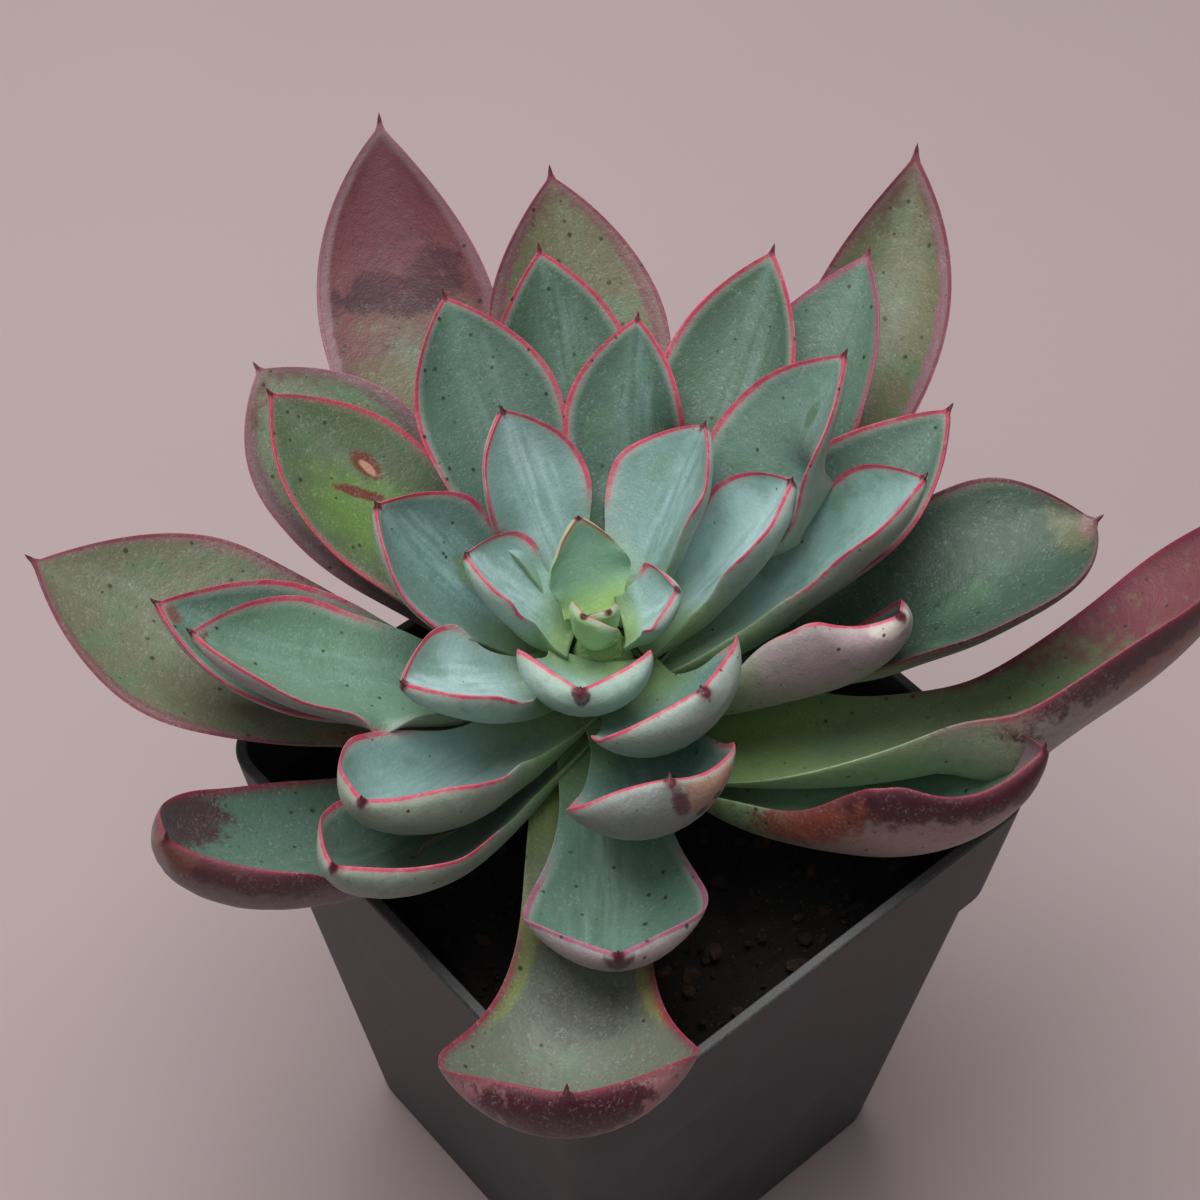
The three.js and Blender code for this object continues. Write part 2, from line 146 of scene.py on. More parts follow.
class Graph:
    """The node tree of one material, built by expressions."""

    def __init__(self, name: str):
        self.material = bpy.data.materials.new(name)
        self.material.use_nodes = True
        self.tree = self.material.node_tree
        self.tree.nodes.clear()

    def node(self, kind: str, settings: dict | None = None, values: dict | None = None):
        """Add a node.

        Args:
            kind: the node's type.
            settings: its properties by name.
            values: its inputs by name or number: sockets, numbers or colours.

        Returns:
            The node.
        """
        made = self.tree.nodes.new(kind)
        for key, setting in (settings or {}).items():
            setattr(made, key, setting)
        for key, value in (values or {}).items():
            self.feed(made.inputs[key], value)
        return made

    def feed(self, socket, value) -> None:
        """Link a value to a socket, or set it there."""
        if isinstance(value, Value):
            self.tree.links.new(value.socket, socket)
        elif isinstance(value, tuple) and socket.type == "RGBA":
            socket.default_value = (*value[:3], 1.0)
        else:
            socket.default_value = value

    def out(self, node, key=0) -> Value:
        """An output of a node as a value."""
        return Value(self, node.outputs[key])

    def math(self, operation: str, *values) -> Value:
        """A Math node."""
        made = self.node("ShaderNodeMath", {"operation": operation}, dict(enumerate(values)))
        return self.out(made)

    def vector_math(self, operation: str, *values) -> Value:
        """A Vector Math node."""
        made = self.node("ShaderNodeVectorMath", {"operation": operation}, dict(enumerate(values)))
        return self.out(made)

    def step(self, value, low, high) -> Value:
        """A smooth step from 0 at low to 1 at high."""
        settings = {"interpolation_type": "SMOOTHSTEP"}
        values = {"Value": value, "From Min": low, "From Max": high}
        return self.out(self.node("ShaderNodeMapRange", settings, values))

    def mix(self, first, second, factor) -> Value:
        """A colour between two, by a factor."""
        made = self.node("ShaderNodeMix", {"data_type": "RGBA", "clamp_factor": True})
        self.feed(made.inputs[0], factor)
        self.feed(made.inputs[6], first)
        self.feed(made.inputs[7], second)
        return self.out(made, 2)

    def attribute(self, name: str) -> Value:
        """A number that the mesh carries."""
        return self.out(self.node("ShaderNodeAttribute", {"attribute_name": name}), "Fac")

    def place(self, stretch: Colour = (1.0, 1.0, 1.0)) -> Value:
        """Position on the object in millimetres, stretched along each axis."""
        coordinates = self.out(self.node("ShaderNodeTexCoord"), "Object")
        return self.vector_math("MULTIPLY", coordinates, tuple(part / MM for part in stretch))

    def point(self, x, y, z) -> Value:
        """A vector from three numbers."""
        return self.out(self.node("ShaderNodeCombineXYZ", None, {0: x, 1: y, 2: z}))

    def noise(self, vector, scale: float, detail: float = 2.0, rough: float = 0.5) -> Value:
        """Noise from 0 to 1, with its scale per millimetre."""
        values = {"Vector": vector, "Scale": scale, "Detail": detail, "Roughness": rough}
        return self.out(self.node("ShaderNodeTexNoise", None, values))

    def cells(self, vector, scale: float) -> Value:
        """Distance to the nearest of scattered points, with their scale per millimetre."""
        values = {"Vector": vector, "Scale": scale}
        return self.out(self.node("ShaderNodeTexVoronoi", None, values), "Distance")

    def bump(self, height, distance: float, strength: float = 1.0, under=None) -> Value:
        """A bump from a height."""
        values = {"Height": height, "Distance": distance, "Strength": strength}
        if under is not None:
            values["Normal"] = under
        return self.out(self.node("ShaderNodeBump", None, values), "Normal")

    def finish(self, fixed: dict, **varying) -> bpy.types.Material:
        """Close the graph with one Principled shader.

        Args:
            fixed: values set on the shader's own sockets, the same all over.
            varying: base_color, roughness and normal as values.

        Returns:
            The material.
        """
        names = {"base_color": "Base Color", "roughness": "Roughness", "normal": "Normal"}
        values = {**fixed, **{names[key]: value for key, value in varying.items()}}
        shader = self.node("ShaderNodeBsdfPrincipled", None, values)
        self.node("ShaderNodeOutputMaterial", None, {"Surface": self.out(shader)})
        return self.material


# Finishes


class Side(Enum):
    """A face of a leaf."""

    UPPER = 1.0
    LOWER = 0.0
    BOTH = 0.5


@dataclass(frozen=True)
class Blotch:
    """A mark on a leaf: a soft or ragged oval of one colour.

    Args:
        along: place from root to tip, 0 to 1.
        across: place from one edge to the other, -1 to 1.
        size: half its length and half its breadth, in millimetres.
        colour: its colour.
        side: the face that it is on.
        ragged: how torn its outline is, 0 to 1.
        soft: how far its outline fades, 0 to 1.
        amount: how strong it is, 0 to 1.
        turn: degrees that it is turned on the face.
    """

    along: float
    across: float
    size: tuple[float, float]
    colour: Colour
    side: Side = Side.UPPER
    ragged: float = 0.35
    soft: float = 0.25
    amount: float = 0.9
    turn: float = 0.0


def edge_band(
    along: float, across: float, length: float, breadth: float, colour: Colour, amount: float
) -> Blotch:
    """A torn band beside one edge of a leaf, on both faces, by half its length and half its breadth."""
    return Blotch(along, across, (length, breadth), colour, Side.BOTH, ragged=0.5, amount=amount)


@dataclass(frozen=True)
class LeafFinish:
    """Colours of a leaf and how its markings are laid.

    Args:
        upper: upper face.
        root: upper face near the stem.
        channel_highlight: painted highlight along the channel, standing for the sky's bluish reflection.
        under: lower face.
        under_root: lower face near the stem.
        margin: line along the edge.
        margin_width: width of that line in millimetres.
        blush: red or purple of the tip and edges.
        blush_start: where the blush starts towards the tip, 0 to 1; over 1 is none.
        blush_edge: how much sooner it starts at the edges.
        under_blush: how much of it shows on the lower face.
        channel_highlight_strength: strength of that painted highlight.
        specks: how many dark specks.
        worn: how much of the powder is rubbed off.
        margin_start: where the margin starts towards the tip, 0 to 1.
        rim: pale band on both sides of the margin.
        mucro: the pointed tip.
    """

    upper: Colour = srgb(86, 116, 108)
    root: Colour = srgb(112, 140, 92)
    channel_highlight: Colour = srgb(150, 184, 186)
    under: Colour = srgb(124, 134, 118)
    under_root: Colour = srgb(112, 140, 96)
    margin: Colour = srgb(180, 48, 82)
    margin_width: float = 1.1
    blush: Colour = srgb(104, 40, 54)
    blush_start: float = 1.2
    blush_edge: float = 0.1
    under_blush: float = 0.4
    channel_highlight_strength: float = 0.65
    specks: float = 0.5
    worn: float = 0.4
    margin_start: float = 0.42
    rim: Colour = srgb(152, 168, 158)
    mucro: Colour = srgb(82, 16, 34)

    def material(self, name: str, blotches: tuple[Blotch, ...], seed: float) -> bpy.types.Material:
        """Build the leaf's material.

        Args:
            name: the material's name.
            blotches: marks of this leaf alone.
            seed: shifts every random pattern.

        Returns:
            The material.
        """
        g = Graph(name)
        along, across, rim = g.attribute("along"), g.attribute("across"), g.attribute("rim")
        face, to_tip, width = g.attribute("face"), g.attribute("to_tip"), g.attribute("half_width")
        spot = g.vector_math("ADD", g.place(), (seed * 37.0, seed * 11.0, seed * 5.0))
        lengthwise = g.point(along * 4.0 + seed * 3.0, across * width * 0.9, face * 3.0)
        broad = g.noise(spot, 0.13, 3.0, 0.55)
        middling = g.noise(spot, 0.55, 3.0, 0.6)
        fine = g.noise(spot, 2.6, 2.0, 0.65)
        strands = g.noise(lengthwise, 1.1, 3.0, 0.55)

        # Upper face: yellow-green root, blue-green blade, a painted highlight along the channel for the sky's
        # bluish reflection, rubbed patches
        blade = g.mix(self.root, self.upper, g.step(along + (broad - 0.5) * 0.25, 0.06, 0.42))
        blade = g.mix(blade, srgb(74, 110, 88), g.step(broad, 0.5, 0.78) * 0.5)
        # Painted highlight: a pale bluish band down the channel, where the sky would be reflected
        band = g.step(abs(across + 0.08 + (strands - 0.5) * 0.5), 0.62, 0.05) * g.step(along, 0.12, 0.45)
        blade = g.mix(blade, self.channel_highlight, band * self.channel_highlight_strength * g.step(strands, 0.25, 0.8) * 0.75)
        rubbed = g.step(middling * 0.6 + broad * 0.6, 0.62, 0.8) * self.worn
        blade = g.mix(blade, srgb(70, 104, 66), rubbed * 0.55)

        # Lower face: paler, greyer, pink-grey towards the tip
        below = g.mix(self.under_root, self.under, g.step(along + (broad - 0.5) * 0.3, 0.2, 0.6))
        below = g.mix(below, srgb(84, 104, 76), g.step(middling, 0.5, 0.75) * 0.3)
        colour = g.mix(below, blade, g.step(face, 0.3, 0.7))

        # Blush from the tip and the edges
        reach = along + abs(across) * self.blush_edge + (middling - 0.5) * 0.22 + (broad - 0.5) * 0.2
        redden = g.step(reach, self.blush_start, self.blush_start + 0.16)
        redden = redden * g.step(middling + fine * 0.3, 0.2, 0.62)
        side = face * (1.0 - self.under_blush) + self.under_blush
        colour = g.mix(colour, self.blush, redden * side * 0.92)

        # Marks of this leaf alone
        torn = middling * 0.88 + fine * 0.12 - 0.5
        for mark in blotches:
            colour = g.mix(colour, mark.colour, self._mask(g, mark, torn, (along, across, width, face)))

        # Pale bands beside the edge, coloured margin, dark tip and the smudge round it
        wide_part = g.step(along + (middling - 0.5) * 0.16, self.margin_start, self.margin_start + 0.22)
        halo = g.step(abs(rim), 1.9, 0.5) * g.step(along, self.margin_start - 0.12, self.margin_start + 0.2)
        colour = g.mix(colour, self.rim, halo * 0.5)
        line = abs(rim - 0.1 + (middling - 0.5) * 0.3)
        half = self.margin_width * 0.5
        glow = g.step(line, half + 0.75, half * 0.5) * wide_part
        colour = g.mix(colour, self.margin, glow * 0.3)
        edge = g.step(line, half + 0.1, half - 0.1) * wide_part
        colour = g.mix(colour, self.margin, edge * (0.3 + fine * 0.5 + g.step(middling, 0.3, 0.55) * 0.35))
        aside = abs(across) * width
        near_tip = g.step(to_tip + aside * 0.9 + middling * 2.4, 3.7, 2.1)
        smudge = near_tip * g.step(middling + fine * 0.4, 0.4, 0.85)
        colour = g.mix(colour, self.blush, smudge * 0.6)
        colour = g.mix(colour, self.mucro, g.step(to_tip + aside * 1.4 + fine * 0.6, 2.3, 1.4))

        # Dark specks and a dusting of powder
        dots = g.cells(spot, 0.4)
        size = middling * 0.2 * (0.5 + self.specks)
        crowded = g.step(broad, 0.5 - 0.25 * self.specks, 0.58 - 0.2 * self.specks)
        speck = g.step(dots, size, size * 0.4) * crowded
        colour = g.mix(colour, srgb(38, 42, 32), speck * 0.95)
        grains = g.cells(spot, 0.75)
        grainy = g.step(middling, 0.62 - 0.2 * self.specks, 0.72 - 0.2 * self.specks)
        grain = g.step(grains, 0.16, 0.05) * grainy
        colour = g.mix(colour, srgb(48, 54, 42), grain * (0.25 + 0.45 * self.specks))
        powder = g.step(fine, 0.5, 0.72) * g.step(middling, 0.62, 0.4) * (1.0 - redden)
        colour = g.mix(colour, srgb(186, 198, 192), powder * 0.16)

        pores = g.cells(spot, 3.4)
        normal = g.bump(pores * 0.12 + fine * 0.14 + middling, 0.00035, 0.4)
        gloss = 0.46 + (middling - 0.5) * 0.22 + fine * 0.1 - rubbed * 0.16
        fixed = {"Specular IOR Level": 0.42, "Sheen Weight": 0.1, "Sheen Roughness": 0.45}
        return g.finish(fixed, base_color=colour, roughness=gloss, normal=normal)

    @staticmethod
    def _mask(g: Graph, mark: Blotch, torn: Value, where: tuple) -> Value:
        """Strength of a mark over the leaf."""
        along, across, width, face = where
        length = g.attribute("length")
        dx = (along - mark.along) * length
        dy = across * width - mark.across * width
        turn = math.radians(mark.turn)
        major = dx * math.cos(turn) + dy * math.sin(turn)
        minor = dy * math.cos(turn) - dx * math.sin(turn)
        radius = ((major / mark.size[0]) ** 2.0 + (minor / mark.size[1]) ** 2.0) ** 0.5
        inside = g.step(radius + torn * (2.6 * mark.ragged), 1.0 + mark.soft, 1.0 - mark.soft)
        if mark.side is Side.BOTH:
            return inside * mark.amount
        upper = g.step(face, 0.35, 0.65)
        return inside * mark.amount * (upper if mark.side is Side.UPPER else 1.0 - upper)


# Leaves

# Leaf sections: rings along the blade and points round each
LEAF_RINGS = 56
LEAF_SIDES = 44
MIDRIB_STEPS = 240
UPPER_SHARE = 0.12
BLADE_END = 0.975
MIN_THICKNESS = 0.6
NECK_END = 0.12

# Where a leaf is pressed back behind those nearer to the heart, how far at most, and the gap kept
PRESS_START = 0.38
PRESS_LIMIT = 4.5
PRESS_GAP = 0.3
PRESS_PASSES = 45

SPOON = {"blunt": 2.7}


def along(values: tuple[float, float, float], s):
    """A value that runs from root to middle to tip, at s from 0 to 1."""
    root, middle, tip = values
    return root * (1 - s) ** 2 + 2 * middle * s * (1 - s) + tip * s**2


@dataclass(frozen=True)
class LeafForm:
    """Form of one leaf, in millimetres and degrees, measured from the stem at the rim's height.

    Args:
        heading: direction round the stem.
        length: length along the midrib.
        width: greatest width.
        height: height of its root over the rim plane.
        reach: distance of its root from the stem's axis.
        pitch: slope at root, middle and tip.
        curl: how far each edge curls up at root, middle and tip.
        roll: turn about its own length.
        bend: turn of its heading towards the tip.
        thickness: greatest thickness.
        neck: width at the root as a share of the greatest.
        widest: where it is widest, 0 to 1.
        flare: how suddenly it widens from the neck.
        blunt: how round its end is.
        lift: how late the tip lifts.
    """

    heading: float
    length: float
    width: float
    height: float
    reach: float
    pitch: tuple[float, float, float]
    curl: tuple[float, float, float]
    roll: float = 0.0
    bend: float = 0.0
    thickness: float = 3.4
    neck: float = 0.45
    widest: float = 0.66
    flare: float = 1.0
    blunt: float = 2.0
    lift: float = 1.5

    def half_width(self, s: np.ndarray) -> np.ndarray:
        """Half of the blade's width at s, without the pointed tip."""
        half = self.width / 2
        opened = ease((s - NECK_END) / (self.widest - NECK_END)) ** self.flare
        rise = self.neck + (1 - self.neck) * opened
        t = np.clip((s - self.widest) / (1 - self.widest), 0, 1)
        fall = (1 - t**self.blunt) ** 0.85 * (1 - 0.1 * t**3)
        return half * np.where(s < self.widest, rise, fall)

    def depth(self, s: np.ndarray) -> np.ndarray:
        """Thickness of the blade at s."""
        root = 0.6 + 0.4 * ease(s / 0.3)
        belly = 0.55 + 0.45 * ease(1.25 - s / 0.75)
        end = np.sqrt(np.clip((1 - s) / 0.12, 0, 1))
        return np.maximum(MIN_THICKNESS, self.thickness * root * belly * end)

    def frames(self, s: np.ndarray) -> tuple[np.ndarray, np.ndarray, np.ndarray, np.ndarray]:
        """Midrib points and the blade's directions at s: forward, sideways and up."""
        steps = np.linspace(0, 1, MIDRIB_STEPS + 1)
        root, middle, tip = self.pitch
        low = root + (middle - root) * ease(steps / 0.5)
        high = middle + (tip - middle) * np.clip((steps - 0.5) / 0.5, 0, 1) ** self.lift
        pitch = np.radians(np.where(steps < 0.5, low, high))
        turn = np.radians(self.heading + self.bend * steps**1.5)
        forward = np.stack([np.cos(turn) * np.cos(pitch), np.sin(turn) * np.cos(pitch), np.sin(pitch)], -1)
        strides = (forward[1:] + forward[:-1]) / 2 * self.length / MIDRIB_STEPS
        start = math.radians(self.heading)
        root_point = np.array([self.reach * math.cos(start), self.reach * math.sin(start), self.height])
        points = root_point + np.vstack([np.zeros(3), np.cumsum(strides, 0)])

        def at(values: np.ndarray) -> np.ndarray:
            return np.stack([np.interp(s, steps, values[:, axis]) for axis in range(3)], -1)

        turns = np.interp(s, steps, turn)
        ahead = at(forward)
        ahead /= np.linalg.norm(ahead, axis=1)[:, None]
        side = np.stack([-np.sin(turns), np.cos(turns), 0 * turns], -1)
        up = np.cross(ahead, side)
        roll = np.radians(self.roll) * ease(s / 0.5)
        cosine, sine = np.cos(roll)[:, None], np.sin(roll)[:, None]
        return at(points), ahead, side * cosine + up * sine, up * cosine - side * sine


@dataclass(frozen=True)
class Leaf:
    """A leaf of the rosette: its form, its finish and its own marks.

    Args:
        form: its form.
        finish: its colours.
        marks: marks of this leaf alone.
        wave: height of the ripple in its edges, in millimetres.
    """

    form: LeafForm
    finish: LeafFinish
    marks: tuple[Blotch, ...] = ()
    wave: float = 0.22

    def grid(self, seed: float) -> tuple[np.ndarray, dict[str, np.ndarray]]:
        """Points of the skin, ring by ring, and the numbers that its material reads."""
        form = self.form
        t = np.linspace(0, 1, LEAF_RINGS)
        s = 0.5 * t + 0.5 * np.sin(t * np.pi / 2)
        tip = (1 - s) * form.length
        mucro_length = min(2.4, 0.12 * form.length)
        blade = form.half_width(np.clip(s / BLADE_END, 0, 1))
        mucro = 0.5 * np.clip(tip / mucro_length, 0, 1) ** 0.75
        half = (np.maximum(blade, 0) ** 2 + mucro**2) ** 0.5
        thickness = np.minimum(form.depth(s), 1.24 * half + 0.12)
        opening = np.radians(along(form.curl, s))
        radius = half / opening
        point, ahead, side, up = form.frames(s)

        angle = np.linspace(0, 2 * np.pi, LEAF_SIDES, endpoint=False)
        across = np.cos(angle)[None, :]
        sine = np.sin(angle)[None, :]
        body = 0.45 * np.abs(sine) + 0.55 * np.abs(sine) ** 2.2
        share = np.where(sine > 0, UPPER_SHARE, UPPER_SHARE - 1)
        shift = share * thickness[:, None] * body
        swing = opening[:, None] * across
        lateral = radius[:, None] * np.sin(swing) - np.sin(swing) * shift
        rise = radius[:, None] * (1 - np.cos(swing)) + np.cos(swing) * shift

        # Ripples of the edges and slow swellings of the blade
        phase = seed * 6.0 + np.where(across < 0, 2.1, 0.0)
        ripple = np.sin(2 * np.pi * (2.3 * s[:, None]) + phase)
        ripple = ripple + 0.5 * np.sin(2 * np.pi * 4.1 * s[:, None] - phase)
        rippled = self.wave * ripple * np.abs(across) ** 3
        rise = rise + rippled * ease(s / 0.4)[:, None] * ease(tip / 5)[:, None]
        swell = np.sin(2 * np.pi * (1.7 * s[:, None] + 0.35 * across) + seed * 9.0)
        rise = rise + 0.10 * swell * ease(tip / 8)[:, None] * np.where(sine > 0, 0.5, 1.0)

        points = point[:, None, :] + side[:, None, :] * lateral[..., None] + up[:, None, :] * rise[..., None]
        points[-1] = point[-1]
        hops = np.linalg.norm(np.roll(points, -1, 1) - points, axis=2)
        walk = np.concatenate([np.zeros((LEAF_RINGS, 1)), np.cumsum(hops, 1)], 1)
        half_way = LEAF_SIDES // 2
        turn_length = walk[:, -1:]
        upper_length = walk[:, half_way:half_way + 1]
        here = walk[:, :-1]
        upper = np.minimum(here, upper_length - here)
        lower = np.minimum(here - upper_length, turn_length - here)
        is_upper = np.arange(LEAF_SIDES)[None, :] <= half_way
        rim = np.where(is_upper, np.maximum(upper, 0), -np.maximum(lower, 0))
        ones = np.ones((LEAF_RINGS, LEAF_SIDES))
        numbers = {
            "along": s[:, None] * ones,
            "across": across * ones,
            "rim": rim,
            "face": ease(0.5 + rim / 0.5),
            "to_tip": tip[:, None] * ones / min(1.0, form.length / 26),
            "half_width": half[:, None] * ones,
            "length": form.length * ones,
        }
        return points, numbers

    def press_back(self, points: np.ndarray, inner: BVHTree) -> np.ndarray:
        """Press the blade back where it would come through a leaf nearer to the heart.

        Args:
            points: points of the skin, ring by ring.
            inner: the leaves nearer to the heart.

        Returns:
            The points, moved towards the leaf's lower face.
        """
        t = np.linspace(0, 1, LEAF_RINGS)
        s = 0.5 * t + 0.5 * np.sin(t * np.pi / 2)
        back = -self.form.frames(s)[3]
        push = np.zeros((LEAF_RINGS, LEAF_SIDES))
        for ring in range(LEAF_RINGS):
            if s[ring] < PRESS_START:
                continue
            direction = Vector(back[ring])
            for side in range(LEAF_SIDES):
                start = Vector(points[ring, side])
                gone = 0.0
                while True:
                    hit = inner.ray_cast(start + direction * (gone + 0.01), direction, PRESS_LIMIT - gone)
                    if hit[0] is None:
                        break
                    gone += hit[3] + 0.01
                    push[ring, side] = gone + PRESS_GAP
        push = np.maximum(push, np.roll(push[:, ::-1], 1, 1))
        soft = push
        for _ in range(PRESS_PASSES):
            padded = np.pad(soft, ((1, 1), (0, 0)), "edge")
            lengthwise = (padded[:-2] + padded[2:]) / 2
            sideways = (np.roll(soft, 1, 1) + np.roll(soft, -1, 1)) / 2
            soft = np.maximum(push, 0.4 * soft + 0.3 * lengthwise + 0.3 * sideways)
        soft = soft * ease((s - PRESS_START) / 0.12)[:, None]
        return points + back[:, None, :] * soft[..., None]

    def build(
        self,
        name: str,
        node: str,
        slot: str,
        seed: float,
        within: tuple[Vector, Vector] | None = None,
        inner: tuple[list, list] | None = None,
    ) -> bpy.types.Object:
        """Make the leaf's piece.

        Args:
            name: the piece's name.
            node: the CAD node that it stands for.
            slot: not used.
            seed: shifts every random pattern.
            within: lowest and highest corner that the leaf keeps to.
            inner: points and faces of the leaves nearer to the heart, to which this one's are added.

        Returns:
            The piece.
        """
        points, numbers = self.grid(seed)
        faces = ring_faces(LEAF_RINGS, LEAF_SIDES, close_end=False)
        if inner is not None:
            if inner[1]:
                points = self.press_back(points, BVHTree.FromPolygons(*inner))
            count = len(inner[0])
            inner[0].extend(map(tuple, points.reshape(-1, 3)))
            inner[1].extend(tuple(count + i for i in face) for face in faces)
        points = plant_to_row(points.reshape(-1, 3))
        if within is not None:
            points = np.clip(points, *within)
        piece = make_piece(name, points, faces)
        for key, values in numbers.items():
            carried = piece.data.attributes.new(key, "FLOAT", "POINT")
            carried.data.foreach_set("value", values.reshape(-1).astype(np.float32))
        piece.data.materials.append(self.finish.material(f"{name}_finish", self.marks, seed))
        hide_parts(node)
        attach(piece, "root")
        return piece


def plant_to_row(points: np.ndarray) -> np.ndarray:
    """Move plant points, in millimetres from the stem at the rim plane, to the row's frame in metres."""
    turn = math.radians(PLANT_TURN)
    x = points[..., 0] * math.cos(turn) - points[..., 1] * math.sin(turn) + STEM_X
    y = points[..., 0] * math.sin(turn) + points[..., 1] * math.cos(turn) + STEM_Y
    return np.stack([x, y, points[..., 2] + POT_HEIGHT], -1) * MM


def make_piece(name: str, points, faces, smooth: bool = True) -> bpy.types.Object:
    """Make a mesh object at the origin.

    Args:
        name: its name.
        points: its points in metres.
        faces: its faces.
        smooth: whether it is shaded smooth.

    Returns:
        The object, linked to the scene.
    """
    mesh = bpy.data.meshes.new(name)
    mesh.from_pydata([tuple(map(float, p)) for p in points], [], faces)
    mesh.validate()
    mesh.polygons.foreach_set("use_smooth", [smooth] * len(mesh.polygons))
    piece = bpy.data.objects.new(name, mesh)
    bpy.context.scene.collection.objects.link(piece)
    return piece


def ring_faces(rings: int, count: int, close_end: bool = True) -> list[tuple[int, ...]]:
    """Faces of a skin of rings of equal length, closed at its start and, where wanted, at its end."""
    faces = []
    for ring in range(rings - 1):
        for i in range(count):
            j = (i + 1) % count
            faces.append((ring * count + i, ring * count + j, (ring + 1) * count + j, (ring + 1) * count + i))
    faces.append(tuple(reversed(range(count))))
    if close_end:
        last = (rings - 1) * count
        faces.append(tuple(range(last, last + count)))
    return faces


# Finishes of the whorls and of the leaves that differ from them

GLAUCOUS = LeafFinish()
HEART = replace(GLAUCOUS, upper=srgb(126, 168, 142), root=srgb(140, 174, 108), under=srgb(134, 170, 126),
                under_root=srgb(146, 180, 116), channel_highlight_strength=0.35, specks=0.0, worn=0.1, margin_width=0.6)
BUD = replace(HEART, upper=srgb(140, 176, 116), under=srgb(136, 172, 112), margin_width=0.3)
# INNER: upper face partly the paler bloom of young leaves, partly painted light standing for light that
# reaches into the heart
INNER = replace(GLAUCOUS, upper=srgb(120, 152, 147), channel_highlight=srgb(184, 208, 213), under=srgb(136, 160, 150),
                channel_highlight_strength=0.85, specks=0.25, worn=0.25)
# SHADED_BACK: upper face partly painted shade, darkened for a back leaf tilted towards the camera and away
# from the light
SHADED_BACK = replace(GLAUCOUS, upper=srgb(60, 88, 74), channel_highlight_strength=0.35, specks=0.8)
ROSY_BACK = replace(GLAUCOUS, under=srgb(126, 138, 130), under_root=srgb(104, 132, 100), specks=0.8)
MIDDLE = replace(GLAUCOUS, upper=srgb(74, 100, 87), root=srgb(90, 120, 72), channel_highlight=srgb(124, 152, 146),
                 under=srgb(120, 130, 116), channel_highlight_strength=0.5, specks=0.8)
MIDDLE_ROSY = replace(MIDDLE, under=srgb(138, 124, 126), under_root=srgb(106, 128, 92), specks=0.8)
LOW = replace(MIDDLE, upper=srgb(72, 90, 72), root=srgb(90, 112, 66), channel_highlight=srgb(120, 138, 126),
              under=srgb(112, 106, 98), margin=srgb(146, 44, 70), margin_width=0.9, channel_highlight_strength=0.3, specks=0.9,
              worn=0.6, blush=srgb(78, 34, 44), blush_start=0.97, blush_edge=0.12, rim=srgb(118, 112, 102),
              margin_start=0.34)
OLIVE = replace(LOW, upper=srgb(94, 94, 68), root=srgb(86, 92, 54), under=srgb(104, 100, 80),
                margin=srgb(116, 48, 66), blush=srgb(96, 46, 56), blush_start=0.9, specks=1.0, worn=0.8)
PURPLE = replace(OLIVE, upper=srgb(92, 84, 60), blush=srgb(98, 50, 58), blush_start=0.6, blush_edge=0.08,
                 margin=srgb(126, 78, 92), margin_width=1.0)
DUSKY = replace(LOW, upper=srgb(74, 102, 88), under=srgb(100, 78, 80), blush=srgb(66, 26, 38),
                blush_start=0.92, blush_edge=0.16, under_blush=0.8,
                margin=srgb(120, 36, 56), rim=srgb(84, 44, 52))

SCAR = srgb(92, 44, 30)
DARK = srgb(34, 34, 28)
MAROON = srgb(58, 6, 22)
BRIGHT_GREEN = srgb(86, 118, 44)

HEART_LEAVES = (
    Leaf(LeafForm(8, 9, 12, 20.5, 2.6, (25, 46, 86), (48, 58, 48), roll=-8, thickness=2.2, neck=0.7), INNER),
    Leaf(LeafForm(107, 12.5, 11, 20.2, 3, (35, 65, 79), (47, 52, 42), roll=4, thickness=2.2, neck=0.75,
                  widest=0.45, blunt=1.6),
         replace(HEART, margin=srgb(178, 96, 96), margin_width=0.5, margin_start=0.62,
                 rim=srgb(168, 196, 140))),
    Leaf(LeafForm(-100, 15.5, 20, 18.5, 2.6, (0, 35, 104), (40, 74, 86), roll=6, thickness=2.6, neck=0.6,
                  **SPOON), INNER,
         (Blotch(0.95, 0.05, (1.0, 0.8), srgb(62, 30, 44), Side.LOWER, ragged=0.8),)),
    Leaf(LeafForm(165, 17, 15.5, 18.5, 3.4, (20, 45, 58), (48, 70, 50), roll=16, bend=-3, thickness=2.6,
                  neck=0.6),
         INNER),
)
